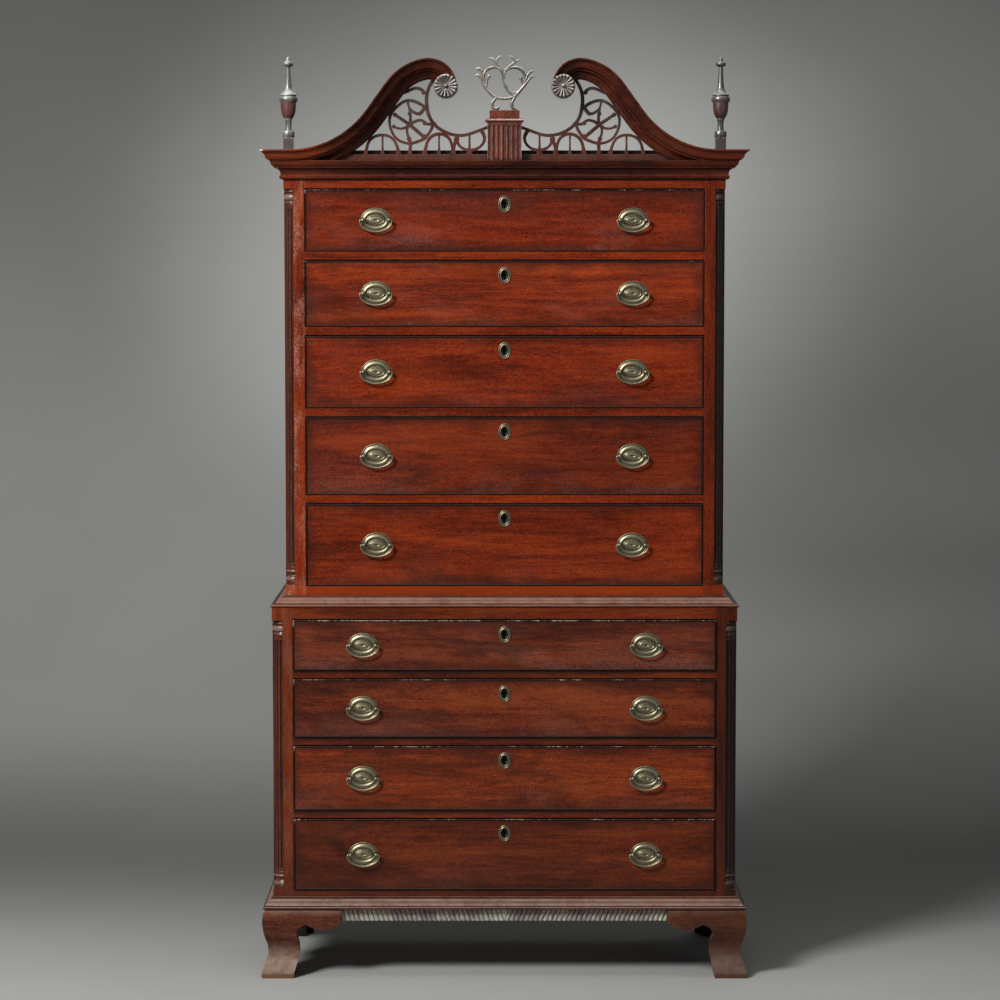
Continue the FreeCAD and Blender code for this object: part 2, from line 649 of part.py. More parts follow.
def drawer_brasses(size, pull_x):
    """Pull plates, bail posts with nuts, escutcheon and lock of one drawer."""
    face, middle = size["face"], size["middle"]
    parts = [pull_plate(side * pull_x, middle, face) for side in (-1, 1)]
    for x in post_places(pull_x):
        parts += bail_post(x, middle, face, size["joint"])
    z = size["keyhole"]
    plate = ellipse_disc((0, z), ESCUTCHEON_HALF_WIDTH, ESCUTCHEON_HALF_HEIGHT,
                         face - ESCUTCHEON_THICKNESS, face)
    parts.append(plate.cut(keyhole(0, z, face - ESCUTCHEON_THICKNESS, face)))
    depth = LOCK_SIZE[1]
    lock = lock_case(size, 0.0)
    y0 = size["joint"] - LOCK_MORTISE
    parts.append(lock.cut(keyhole(0, z, y0, y0 + depth * 0.7)))
    return parts


def bail(x, z, face_y):
    """The swinging handle: two pins, tight corners, and a shouldered grip hanging down."""
    y = face_y - BAIL_AXIS_OUT
    turn = math.radians(BAIL_SHOULDER_TURN)
    pin_start = POST_HALF_SPACING - BAIL_PIN_DEPTH
    shoulder, corner = BAIL_SHOULDER_RADIUS, BAIL_CORNER
    grip = (BAIL_ARM - shoulder * (1 - math.cos(turn))) / math.cos(turn)
    half_turn = turn / 2
    shoulder_mid = (BAIL_ARM - shoulder * (1 - math.cos(half_turn)),
                    -corner - shoulder * math.sin(half_turn))
    shoulder_end = (BAIL_ARM - shoulder * (1 - math.cos(turn)),
                    -corner - shoulder * math.sin(turn))
    drop = -shoulder_end[1] + grip * (1 - math.sin(turn))
    slant = corner * (1 - math.sqrt(0.5))

    def place(px, pz):
        return V(x + px, y, z + pz)

    edges = [Part.makeLine(place(-pin_start, 0), place(-BAIL_ARM + corner, 0)),
             Part.Arc(place(-BAIL_ARM + corner, 0), place(-BAIL_ARM + slant, -slant),
                      place(-BAIL_ARM, -corner)).toShape(),
             Part.Arc(place(-BAIL_ARM, -corner), place(-shoulder_mid[0], shoulder_mid[1]),
                      place(-shoulder_end[0], shoulder_end[1])).toShape(),
             Part.Arc(place(-shoulder_end[0], shoulder_end[1]), place(0, -drop),
                      place(shoulder_end[0], shoulder_end[1])).toShape(),
             Part.Arc(place(shoulder_end[0], shoulder_end[1]), place(shoulder_mid[0],
                      shoulder_mid[1]), place(BAIL_ARM, -corner)).toShape(),
             Part.Arc(place(BAIL_ARM, -corner), place(BAIL_ARM - slant, -slant),
                      place(BAIL_ARM - corner, 0)).toShape(),
             Part.makeLine(place(BAIL_ARM - corner, 0), place(pin_start, 0))]
    path = Part.Wire(edges)
    ring = Part.Wire(Part.Circle(place(-pin_start, 0), UP_X, BAIL_RADIUS).toShape())
    return path.makePipeShell([ring], True, False)


# ================================================================ base
def ogee_profile():
    """Section of the foot boards: pad, hollow ankle and swelling shoulder."""
    reach, inner, top = BASE_REACH, -FOOT_INNER, FOOT_HEIGHT
    return [(inner, 0), (reach, 0), (reach, FOOT_PAD),
            ("curve", [(reach - 7.5, FOOT_PAD + 20), (reach - 13.5, FOOT_PAD + 35),
                       (reach - 15.8, FOOT_PAD + 52), (reach - 13, top - 83),
                       (reach - 6.5, top - 64), (reach - 2.8, top - 44), (reach - 2, top - 22),
                       (reach - 9, top)]),
            (inner, top)]


def bracket_outline(place):
    """Front view of a bracket foot: toe, ankle, scroll notch and wing, in (in, height)."""
    top, toe, length = FOOT_HEIGHT, FOOT_TOE, FOOT_LENGTH
    notch = toe + 5.0
    return outline([(0, 0), (toe, 0), (toe, FOOT_PAD),
                    ("curve", [(toe + 8, 38), (toe + 13, 62), (toe + 12, 82), (notch, 104)]),
                    ("arc", (notch + 7, top - 45), (notch + 24, top - 37)),
                    ("curve", [(notch + 42, top - 45), (notch + 63, top - 49),
                               (length - 18, top - 44), (length, top - 30)]),
                    (length, top), (0, top)], place)


def bracket_feet():
    """Four ogee bracket feet, each two boards and a glue block."""
    reach, low = BASE_REACH, -1.0
    front_run, left_run, _right = moulding_runs(ogee_profile_shifted(), LOWER_HALF_WIDTH
                                                - FOOT_INNER, LOWER_FRONT + FOOT_INNER, BACK,
                                                reach + FOOT_INNER)
    edge = -LOWER_HALF_WIDTH - reach
    front_edge = LOWER_FRONT - reach
    front_cut = bracket_outline(lambda a, z: V(edge + a, front_edge + low, z))
    front_board = front_run.common(front_cut.extrude(V(0, reach + FOOT_INNER - low, 0)))
    side_cut = bracket_outline(lambda a, z: V(edge + low, front_edge + a, z))
    side_board = left_run.common(side_cut.extrude(V(reach + FOOT_INNER - low, 0, 0)))
    rear_cut = bracket_outline(lambda a, z: V(edge + low, BACK - a, z))
    rear_side = left_run.common(rear_cut.extrude(V(reach + FOOT_INNER - low, 0, 0)))
    inner_x = -LOWER_HALF_WIDTH + FOOT_INNER
    rear_bracket = outline([(0, 0), (60, 0), (75, 90), (140, FOOT_HEIGHT), (0, FOOT_HEIGHT)],
                           lambda a, z: V(inner_x + a, BACK - REAR_BRACKET, z))
    rear_bracket = rear_bracket.extrude(V(0, REAR_BRACKET, 0))
    front_y = LOWER_FRONT + FOOT_INNER
    blocks = [box(inner_x, inner_x + GLUE_BLOCK, front_y, front_y + GLUE_BLOCK, 0, FOOT_HEIGHT),
              box(inner_x, inner_x + GLUE_BLOCK, BACK - REAR_BRACKET - GLUE_BLOCK,
                  BACK - REAR_BRACKET, 0, FOOT_HEIGHT)]
    return both_sides([front_board, side_board, rear_side, rear_bracket] + blocks)


def ogee_profile_shifted():
    """The foot section, with reach counted from the inner face of the boards."""
    shifted = []
    for step in ogee_profile():
        if step[0] == "curve":
            shifted.append(("curve", [(p + FOOT_INNER, z) for p, z in step[1]]))
        else:
            shifted.append((step[0] + FOOT_INNER, step[1]))
    return shifted


def gadrooned_apron():
    """Leaning reeds along the front, mirrored about a small wedge in the middle."""
    half = LOWER_HALF_WIDTH + BASE_REACH - FOOT_LENGTH
    low, high = FOOT_HEIGHT - APRON_HEIGHT, FOOT_HEIGHT
    back, foot = LOWER_FRONT + FOOT_INNER, LOWER_FRONT - APRON_FOOT_REACH
    count = math.ceil((half + REED_LEAN) / REED_PITCH)
    steps = [(0.0, back), (0.0, foot)]
    for i in range(count):
        right = -i * REED_PITCH
        steps.append(("arc", (right - REED_PITCH / 2, foot - REED_BULGE),
                      (right - REED_PITCH, foot)))
    steps.append((-count * REED_PITCH, back))
    face = outline(steps, lambda x, y: V(x, y, low))
    reeds = face.extrude(V(-REED_LEAN, 0, APRON_HEIGHT))
    frame = outline([(-half, back), (0.0, back), (0.0, foot - REED_BULGE - REED_FORWARD),
                     (-half, foot - REED_BULGE - REED_FORWARD)], lambda x, y: V(x, y, low))
    reeds = reeds.common(frame.extrude(V(0, 0, APRON_HEIGHT)))
    wedge = outline([(0, low), (REED_LEAN, high), (-REED_LEAN, high)],
                    lambda x, z: V(x, foot - REED_BULGE, z))
    wedge = wedge.extrude(V(0, back - foot + REED_BULGE, 0))
    return both_sides([reeds]) + [wedge]


# ================================================================ pediment
def stroke(points, y0, y1):
    """A flat bar that follows a smooth line and tapers; each point is (x, z, width)."""
    places = [V(x, 0, z) for x, z, _width in points]
    marks = [0.0]
    for here, there in zip(places, places[1:]):
        marks.append(marks[-1] + (there - here).Length)
    line = Part.BSplineCurve()
    line.interpolate(Points=places, Parameters=marks)
    left, right = [], []
    for mark, (x, z, width) in zip(marks, points):
        ahead = line.getD1(mark)[1].normalize()
        aside = (-ahead.z * width / 2, ahead.x * width / 2)
        left.append((x + aside[0], z + aside[1]))
        right.append((x - aside[0], z - aside[1]))
    right.reverse()
    steps = [left[0], ("curve", left[1:]), right[0], ("curve", right[1:])]
    return outline(steps, lambda x, z: V(x, y0, z)).extrude(V(0, y1 - y0, 0))


def rosette_axis():
    """Middle of the left rosette, on the face of the upper case, where its scroll ends."""
    x, z, heading = neck_stations()[-1]
    return V(x + ROSETTE_INSET * math.sin(heading), UPPER_FRONT,
             z - ROSETTE_INSET * math.cos(heading))


def swan_neck_left():
    """The raking crown moulding that rises from the corner and turns into its scroll."""
    half, reach = UPPER_HALF_WIDTH, CORNICE_REACH
    neck = along_neck(neck_profile(), UPPER_FRONT)
    corner = -half - reach
    keep = outline([(corner, UPPER_FRONT - reach), (0, UPPER_FRONT - reach), (0, UPPER_FRONT),
                    (-half, UPPER_FRONT)], lambda x, y: V(x, y, BED_TOP))
    neck = neck.common(keep.extrude(V(0, 0, NECK_RISE_RADIUS + NECK_FALL_RADIUS)))
    eye = rod(rosette_axis() - UP_Y * (reach + 1), ROSETTE_RADIUS + ROSETTE_CLEARANCE,
              reach + 2)
    return neck.cut(eye)


def rosette_left():
    """A turned button whose face is carved into rounded petals about a boss."""
    axis = rosette_axis()
    radius, reach, boss = ROSETTE_RADIUS, ROSETTE_REACH, ROSETTE_BOSS
    petal_radius = radius * math.pi / ROSETTE_PETALS * 0.80
    bed = reach - petal_radius
    button = revolved([(0, 0), (radius, 0), (radius, bed - 4.5), (radius - 3, bed - 1),
                       (boss + 1, bed - 2.5), (boss, reach - boss / 2),
                       dome(boss, reach - boss / 2)], axis, V(0, -1, 0))
    pieces = [button]
    start, length = boss - 1.0, radius - boss + 0.8
    for i in range(ROSETTE_PETALS):
        angle = 2 * math.pi * (i + 0.5) / ROSETTE_PETALS
        outward = V(math.cos(angle), 0, math.sin(angle))
        tip = length - petal_radius
        petal = revolved([(0, 0), (0.9, 0), (petal_radius, tip), dome(petal_radius, tip)],
                         axis + V(0, -bed, 0) + outward * start, outward, 360.0, UP_Y)
        pieces.append(petal)
    return fuse(pieces)


def fret_strokes():
    """The fret's sawn bars, as (x, z, width) from under the left rosette, at FRET_RISE."""
    ring = [(-51.2, 126.3, 7), (-73.7, 139.2, 7.5), (-90.2, 141.6, 7), (-116.2, 127.5, 7),
            (-132.9, 104.0, 7), (-134.1, 88.7, 6.5), (-128.2, 67.6, 6.5), (-116.4, 51.1, 6.5),
            (-95.2, 41.7, 6.5), (-83.3, 41.0, 7), (-64.4, 46.4, 7), (-50.2, 53.5, 7.5),
            (-40.7, 65.2, 7), (-34.0, 77.0, 7), (-31.5, 92.0, 8)]
    leaf = [(-91.4, 141.0, 4.5), (-87.9, 126.3, 5), (-76.1, 113.8, 6.5), (-64.3, 110.8, 8),
            (-56.5, 116.5, 9), (-51.2, 127.5, 7)]
    bay = [(-19.0, 200.0, 8), (-29.8, 189.7, 8), (-42.9, 166.2, 8), (-46.5, 147.4, 8.5),
           (-45.3, 124.0, 9), (-38.3, 100.5, 8.5), (-24.1, 81.7, 8), (-2.8, 67.6, 8),
           (20.8, 60.5, 7.5), (44.5, 60.5, 7), (68.2, 67.6, 7), (96.5, 78.1, 7),
           (118.0, 86.0, 7)]
    wheel = [[(-86.8, 85.2, 9), (-84.4, 98.1, 7), (-86.0, 109.9, 7)],
             [(-86.0, 109.9, 6), (-87.9, 124.0, 4.5), (-90.7, 140.0, 5)],
             [(-86.8, 85.2, 8.5), (-121.0, 108.0, 7.5)],
             [(-86.8, 85.2, 7), (-104.5, 75.8, 5.5), (-124.0, 80.4, 6)],
             [(-86.8, 85.2, 8), (-92.7, 67.6, 6), (-88.5, 53.5, 7), (-85.2, 43.0, 9),
              (-85.5, 27.0, 8), (-85.6, 12.0, 13)],
             [(-86.8, 85.2, 9), (-49.0, 52.6, 8.5)],
             [(-86.8, 85.2, 8), (-71.4, 93.4, 7), (-57.2, 94.6, 6.5), (-50.8, 88.7, 7.5)],
             [(-50.8, 88.7, 7), (-38.3, 85.9, 7), (-24.0, 88.0, 6)]]
    curl = [[(-108.0, 157.0, 7), (-98.0, 160.5, 7), (-87.8, 164.8, 7), (-76.0, 169.7, 7),
             (-62.0, 169.0, 7.5), (-53.8, 162.0, 9)], [(-56.0, 164.0, 7), (-42.0, 155.0, 5)]]
    arches = [[(-191.0, 10.0, 12), (-188.7, 27.6, 7.5), (-180.3, 48.8, 6.5), (-154.3, 60.5, 6.5),
               (-128.3, 53.0, 6.5), (-114.8, 27.6, 8), (-112.0, 10.0, 13)],
              [(-51.5, 10.0, 13), (-49.0, 27.6, 8.5), (-40.7, 51.1, 7.5), (-19.4, 62.9, 7.5),
               (4.3, 55.0, 7.5), (15.5, 27.6, 8.5), (18.5, 10.0, 13)]]
    posts = [[(-150.8, 59.0, 5.5), (-150.8, 27.0, 5.5), (-150.8, 10.0, 10)],
             [(-17.0, 61.0, 5.5), (-17.0, 27.0, 5.5), (-17.0, 10.0, 10)],
             [(55.1, 62.0, 5.5), (55.1, 36.0, 5.5), (55.1, 21.0, 8)]]
    bowl = [[(24.4, 63.0, 6), (24.4, 51.1, 9), (19.5, 38.0, 8), (18.0, 20.0, 10)],
            [(25.5, 48.0, 8), (35.0, 32.0, 6.5), (53.9, 25.2, 7.5), (72.9, 28.6, 6.5),
             (86.6, 40.0, 6.5), (90.6, 53.5, 7.5), (87.0, 64.5, 9.5), (81.0, 73.5, 7)],
            [(55.1, 26.0, 9), (55.1, 10.0, 16)]]
    return [ring, leaf, bay] + wheel + curl + arches + posts + bowl


def fret_knobs():
    """Round ends and joints of the fret's bars, as (x, z, radius)."""
    return [(-86.8, 85.2, 6.5), (-86.2, 110.5, 5.2), (-121.0, 108.0, 5.2), (-124.0, 80.4, 4.6),
            (-88.0, 51.5, 5.6), (-50.8, 88.7, 5.2), (-53.6, 160.6, 5.4), (24.4, 50.5, 6.8),
            (-50.8, 56.5, 6.2), (-62.5, 110.5, 4.6), (-33.5, 86.5, 5.0)]


def fretwork_left():
    """The pierced board: a foot strip, the band behind the neck and the sawn bars between."""
    y0, y1 = UPPER_FRONT, UPPER_FRONT + FRET_THICKNESS
    foot, axis = BED_TOP, rosette_axis()
    half, plinth = UPPER_HALF_WIDTH, PLINTH_HALF_WIDTH
    band = along_neck([(BAND_MARGIN, 0), (NECK_WIDTH - BAND_MARGIN, 0),
                       (NECK_WIDTH - BAND_MARGIN, -FRET_THICKNESS),
                       (BAND_MARGIN, -FRET_THICKNESS)], UPPER_FRONT)
    pieces = [band, box(-half, -plinth, y0, y1, foot, foot + TYMPANUM_STRIP),
              rod(axis, ROSETTE_RADIUS - 2, FRET_THICKNESS)]
    rise = (axis.z - foot) / FRET_RISE
    for points in fret_strokes():
        pieces.append(stroke([(axis.x + x, foot + z * rise, width) for x, z, width in points],
                             y0, y1))
    pieces += [rod(V(axis.x + x, y0, foot + z * rise), radius, FRET_THICKNESS)
               for x, z, radius in fret_knobs()]
    keep = box(-half, -plinth, y0, y1, foot, foot + NECK_RISE_RADIUS + NECK_FALL_RADIUS)
    return fuse(pieces).common(keep)


def plinth_cap_profile(foot):
    """Moulded edge of the plinth's cap: cyma, bead and top fillet, in (reach, height)."""
    reach, top = PLINTH_CAP_REACH, foot + PLINTH_CAP
    return [(0, foot), (1, foot), ("arc", (reach * 0.35, foot + PLINTH_CAP * 0.3),
                                   (reach * 0.8, foot + PLINTH_CAP * 0.45)),
            ("arc", (reach, foot + PLINTH_CAP * 0.6), (reach * 0.8, foot + PLINTH_CAP * 0.75)),
            (reach * 0.6, top - 2), (reach * 0.6, top), (0, top)]


def centre_plinth():
    """Fluted pedestal, moulded cap and top block under the centre finial."""
    half, foot = PLINTH_HALF_WIDTH, BED_TOP
    y0, y1 = UPPER_FRONT - PLINTH_FRONT, UPPER_FRONT + PLINTH_BACK
    top = foot + PLINTH_HEIGHT
    body = box(-half, half, y0, y1, foot, top)
    pitch = 2 * half / PLINTH_FLUTES
    sunk = PLINTH_FLUTE_RADIUS - PLINTH_FLUTE_DEPTH
    flute_top = PLINTH_HEIGHT - 3 - PLINTH_FLUTE_RADIUS
    cuts = []
    for i in range(PLINTH_FLUTES):
        place = V(-half + (i + 0.5) * pitch, y0 - sunk, foot)
        cuts.append(rod(place, PLINTH_FLUTE_RADIUS, flute_top, UP_Z))
        cuts.append(Part.makeSphere(PLINTH_FLUTE_RADIUS, place + UP_Z * flute_top))
    runs = moulding_runs(plinth_cap_profile(top), half, y0, y1, PLINTH_CAP_REACH)
    cap = fuse([box(-half, half, y0, y1, top, top + PLINTH_CAP)] + runs)
    block = box(-PLINTH_BLOCK_HALF, PLINTH_BLOCK_HALF, y0 + 4, y1, top + PLINTH_CAP,
                top + PLINTH_CAP + PLINTH_BLOCK)
    return [body.cut(Part.makeCompound(cuts)), cap, block]


def finial_strokes():
    """The centre finial's leafy scrolls, as (x, z, width) above the top of its block."""
    return [[(-71.5, 79.8, 1.6), (-63.0, 83.0, 5.5), (-54.4, 73.5, 5.5), (-49.6, 59.5, 5.5),
             (-39.0, 45.4, 6), (-22.5, 31.8, 6), (-1.3, 27.5, 5.5), (17.6, 30.2, 6),
             (29.4, 38.4, 7), (41.2, 52.4, 7), (53.0, 66.5, 6), (62.5, 78.0, 5.5),
             (74.3, 79.6, 1.6)],
            [(-70.6, 95.5, 1.8), (-61.0, 98.0, 6.5), (-52.5, 88.7, 5.5), (-49.5, 76.0, 5),
             (-48.0, 62.0, 4)],
            [(69.3, 93.6, 1.6), (59.0, 88.2, 6.5), (52.3, 78.2, 5.5), (48.5, 65.0, 5)],
            [(-46.0, 58.0, 4), (-48.5, 75.9, 4.5), (-46.8, 89.9, 6.5), (-36.7, 98.3, 7.5),
             (-22.5, 101.4, 5.5), (-10.7, 96.5, 6), (-5.8, 85.2, 4.5), (-5.0, 73.5, 4),
             (1.1, 56.5, 4.5), (11.0, 42.5, 5), (26.0, 35.0, 5)],
            [(-0.6, 74.0, 4), (-0.1, 87.6, 4.5), (8.2, 96.9, 5), (22.3, 101.2, 6.5),
             (36.5, 97.5, 7), (46.0, 87.0, 5.5), (48.5, 73.5, 4.5), (43.0, 57.5, 4),
             (31.0, 44.6, 4), (21.5, 41.5, 3.6), (10.8, 47.2, 3.6), (4.0, 57.0, 3.6),
             (-1.6, 66.0, 3.6)],
            [(-3.0, 93.0, 6), (-13.1, 105.1, 6), (-22.5, 115.7, 5.5), (-29.6, 121.3, 4),
             (-37.0, 122.6, 1.5)],
            [(-16.0, 107.0, 4), (-17.8, 118.0, 4.5), (-13.1, 125.3, 3.5), (-5.8, 128.0, 1.5)],
            [(0.0, 93.0, 6), (10.5, 102.8, 5), (20.7, 111.0, 5), (22.8, 118.0, 4.5),
             (17.6, 125.0, 3.5), (9.4, 127.4, 1.5)],
            [(19.0, 106.5, 4), (28.2, 115.7, 4), (40.4, 119.4, 1.5)],
            [(-43.5, 56.0, 5.5), (-41.2, 68.8, 4.5), (-38.0, 78.7, 5)],
            [(45.5, 57.0, 5), (41.6, 66.5, 4.5), (39.0, 74.7, 5)],
            [(-19.0, 30.5, 7), (-28.2, 19.6, 7.5), (-28.4, 9.6, 7), (-22.5, 3.2, 7),
             (-15.6, 5.2, 6)],
            [(29.0, 37.5, 6), (19.0, 22.0, 6.5), (17.6, 10.2, 7), (24.7, 2.4, 8),
             (31.8, -3.0, 7)]]


def centre_finial():
    """Openwork of leafy scrolls on two curled feet, sawn from one board."""
    middle = UPPER_FRONT - PLINTH_FRONT + 4 + (PLINTH_FRONT + PLINTH_BACK - 4) / 2
    y0, y1 = middle - FINIAL_THICKNESS / 2, middle + FINIAL_THICKNESS / 2
    seat = BED_TOP + PLINTH_HEIGHT + PLINTH_CAP + PLINTH_BLOCK
    pieces = [stroke([(x, seat + z, width) for x, z, width in points], y0, y1)
              for points in finial_strokes()]
    for x, z in [(-37.6, 79.5), (38.8, 75.5), (-16.0, 5.6)]:
        pieces.append(rod(V(x, y0, seat + z), FINIAL_CURL, FINIAL_THICKNESS))
    below = box(-2 * PLINTH_BLOCK_HALF, 2 * PLINTH_BLOCK_HALF, y0, y1, seat - PLINTH_BLOCK, seat)
    return fuse(pieces).cut(below)


def urn_profile():
    """The turned urn and steeple, as shares of its radius and height."""
    return [(0, 0), (0.59, 0), ("arc", (0.655, 0.042), (0.59, 0.083)), (0.36, 0.088),
            ("curve", [(0.325, 0.125), (0.315, 0.160), (0.345, 0.200), (0.375, 0.222)]),
            (0.42, 0.226), (0.42, 0.240),
            ("curve", [(0.53, 0.255), (0.66, 0.282), (0.76, 0.325), (0.81, 0.380),
                       (0.835, 0.436)]),
            (0.93, 0.444), ("arc", (1.0, 0.473), (0.94, 0.503)), (0.85, 0.509), (0.85, 0.519),
            (0.92, 0.526), (0.90, 0.535),
            ("curve", [(0.70, 0.551), (0.56, 0.569), (0.43, 0.597), (0.345, 0.640),
                       (0.290, 0.710), (0.252, 0.790), (0.228, 0.876)]),
            (0.40, 0.884), ("arc", (0.55, 0.912), (0.40, 0.940)), (0.30, 0.944),
            (0.25, 0.960), (0.21, 0.973)]


def scaled_steps(steps, wide, tall):
    """An outline drawn as shares, brought to size."""
    result = []
    for step in steps:
        if step[0] == "arc":
            result.append(("arc", (step[1][0] * wide, step[1][1] * tall),
                           (step[2][0] * wide, step[2][1] * tall)))
        elif step[0] == "curve":
            result.append(("curve", [(r * wide, h * tall) for r, h in step[1]]))
        else:
            result.append((step[0] * wide, step[1] * tall))
    return result


def urn_finial_left():
    """A square block and the turned urn with its steeple on it."""
    x, y, foot = -UPPER_HALF_WIDTH + URN_INSET, UPPER_FRONT + URN_BACK, CROWN_TOP
    half, top = URN_BLOCK / 2, CROWN_TOP + URN_BLOCK_HEIGHT
    block = box(x - half, x + half, y - half, y + half, foot, top)
    steps = scaled_steps(urn_profile(), URN_RADIUS, URN_HEIGHT)
    tip = steps[-1][0]
    steps += [(tip, URN_HEIGHT - tip), dome(tip, URN_HEIGHT - tip)]
    urn = revolved(steps, V(x, y, top))
    return [block, urn]


# ================================================================ the assembly
def make_nodes():
    """Every named node of the chest, as a list of solids."""
    nodes = {}
    lower_levels = rail_levels(LOWER_BOTTOM, LOWER_BOTTOM_RAIL, LOWER_OPENINGS, LOWER_RAIL)
    upper_levels = rail_levels(UPPER_BOTTOM, UPPER_BOTTOM_RAIL, UPPER_OPENINGS, UPPER_RAIL)
    side_top = UPPER_TOP + SIDE_ABOVE_RAIL
    lower_board_levels = (LOWER_BOTTOM, LOWER_TOP - BOARD)
    nodes["lower_carcass"] = carcass(LOWER_HALF_WIDTH, LOWER_FRONT, LOWER_BOTTOM, LOWER_TOP,
                                     LOWER_SIDE, LOWER_COLUMN, lower_board_levels)
    nodes["upper_carcass"] = carcass(UPPER_HALF_WIDTH, UPPER_FRONT, UPPER_BOTTOM, side_top,
                                     UPPER_SIDE, UPPER_COLUMN, (UPPER_BOTTOM,))
    nodes["upper_dust_board"] = [box(-UPPER_HALF_WIDTH, UPPER_HALF_WIDTH,
                                     UPPER_FRONT + PLINTH_BACK, BACK, side_top,
                                     side_top + DUST_BOARD)]
    nodes["lower_face_frame"] = face_frame(LOWER_HALF_WIDTH, LOWER_FRONT, LOWER_BOTTOM, LOWER_TOP,
                                           lower_levels, LOWER_COLUMN, LOWER_STILE, LOWER_SIDE,
                                           LOWER_BLOCK_BELOW, LOWER_BLOCK_ABOVE)
    nodes["upper_face_frame"] = face_frame(UPPER_HALF_WIDTH, UPPER_FRONT, UPPER_BOTTOM, UPPER_TOP,
                                           upper_levels, UPPER_COLUMN, UPPER_STILE, UPPER_SIDE,
                                           UPPER_BLOCK_BELOW, UPPER_BLOCK_ABOVE)
    nodes["lower_runners"] = runners(LOWER_HALF_WIDTH, LOWER_FRONT, LOWER_SIDE, LOWER_COLUMN,
                                     LOWER_STILE, lower_levels, LOWER_RAIL, LOWER_PROUD,
                                     LOWER_TOP_RAIL - BOARD)
    nodes["upper_runners"] = runners(UPPER_HALF_WIDTH, UPPER_FRONT, UPPER_SIDE, UPPER_COLUMN,
                                     UPPER_STILE, upper_levels, UPPER_RAIL, UPPER_PROUD,
                                     UPPER_RAIL)
    nodes["lower_backboards"] = backboards(LOWER_HALF_WIDTH, LOWER_SIDE, LOWER_BOTTOM, LOWER_TOP,
                                           LOWER_BACK_BOARDS)
    nodes["upper_backboards"] = backboards(UPPER_HALF_WIDTH, UPPER_SIDE, UPPER_BOTTOM, side_top,
                                           UPPER_BACK_BOARDS)
    nodes["lower_quarter_columns"] = both_sides(quarter_column(
        LOWER_HALF_WIDTH, LOWER_FRONT, LOWER_COLUMN, LOWER_BOTTOM + LOWER_BLOCK_BELOW,
        LOWER_TOP - LOWER_BLOCK_ABOVE))
    nodes["upper_quarter_columns"] = both_sides(quarter_column(
        UPPER_HALF_WIDTH, UPPER_FRONT, UPPER_COLUMN, UPPER_BOTTOM + UPPER_BLOCK_BELOW,
        UPPER_TOP - UPPER_BLOCK_ABOVE))
    nodes["base_moulding"] = moulding_runs(base_moulding_profile(), LOWER_HALF_WIDTH, LOWER_FRONT,
                                           BACK, BASE_REACH)
    nodes["waist_moulding"] = moulding_runs(waist_profile(), UPPER_HALF_WIDTH, UPPER_FRONT, BACK,
                                            CASE_STEP + WAIST_OVERHANG)
    bed = moulding_runs(bed_profile(), UPPER_HALF_WIDTH, UPPER_FRONT, BACK, CORNICE_REACH)
    crown = moulding_runs(crown_profile(), UPPER_HALF_WIDTH, UPPER_FRONT, BACK, CORNICE_REACH)
    nodes["cornice"] = bed + crown[1:]
    nodes["bracket_feet"] = bracket_feet()
    nodes["gadrooned_apron"] = gadrooned_apron()
    for side, turn in (("left", lambda shape: shape), ("right", mirrored)):
        nodes["swan_neck_" + side] = [turn(swan_neck_left())]
        nodes["fretwork_" + side] = [turn(fretwork_left())]
    nodes["rosettes"] = both_sides([rosette_left()])
    nodes["urn_finials"] = both_sides(urn_finial_left())
    nodes["centre_plinth"] = centre_plinth()
    nodes["centre_finial"] = [centre_finial()]
    add_drawers(nodes, upper_levels, 1, UPPER_HALF_WIDTH - UPPER_COLUMN - UPPER_STILE,
                UPPER_FRONT, UPPER_PROUD, UPPER_DRAWER_LENGTH, UPPER_PULL_X)
    add_drawers(nodes, lower_levels, 1 + len(upper_levels),
                LOWER_HALF_WIDTH - LOWER_COLUMN - LOWER_STILE, LOWER_FRONT, LOWER_PROUD,
                LOWER_DRAWER_LENGTH, LOWER_PULL_X)
    return nodes


def add_drawers(nodes, levels, first, half_opening, front, proud, length, pull_x):
    """One case's drawers, their brasses and their two bails each."""
    for number, level in enumerate(levels, first):
        size = drawer_sizes(half_opening, front, level, proud, length)
        name = "drawer_%d" % number
        nodes[name] = drawer(size, pull_x)
        nodes[name + "_brasses"] = drawer_brasses(size, pull_x)
        for side, sign in (("left", -1), ("right", 1)):
            nodes["%s_bail_%s" % (name, side)] = [bail(sign * pull_x, size["middle"],
                                                       size["face"])]


def main():
    os.makedirs("parts", exist_ok=True)
    for name, solids in make_nodes().items():
        group(solids).exportStep("parts/%s.step" % name)


main()
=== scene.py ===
"""Looks of the chest on chest: its woods, brasses and carving, a grey sweep and soft light."""

import math

import bmesh
import bpy
from mathutils import Euler, Matrix, Vector


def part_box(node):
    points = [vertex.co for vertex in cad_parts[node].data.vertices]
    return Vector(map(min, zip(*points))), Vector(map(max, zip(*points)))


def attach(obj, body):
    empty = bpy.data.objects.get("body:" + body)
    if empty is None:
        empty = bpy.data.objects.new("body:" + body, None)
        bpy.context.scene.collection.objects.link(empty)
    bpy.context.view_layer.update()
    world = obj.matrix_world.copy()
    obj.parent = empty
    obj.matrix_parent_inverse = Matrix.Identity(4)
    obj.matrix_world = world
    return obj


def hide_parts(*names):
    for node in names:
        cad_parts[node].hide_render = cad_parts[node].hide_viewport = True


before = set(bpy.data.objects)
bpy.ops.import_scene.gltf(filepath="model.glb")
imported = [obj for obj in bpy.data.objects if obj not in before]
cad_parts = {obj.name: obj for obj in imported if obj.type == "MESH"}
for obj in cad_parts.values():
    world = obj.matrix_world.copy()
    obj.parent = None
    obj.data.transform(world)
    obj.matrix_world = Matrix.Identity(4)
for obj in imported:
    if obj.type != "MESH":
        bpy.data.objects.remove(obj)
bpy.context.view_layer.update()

MM = 0.001

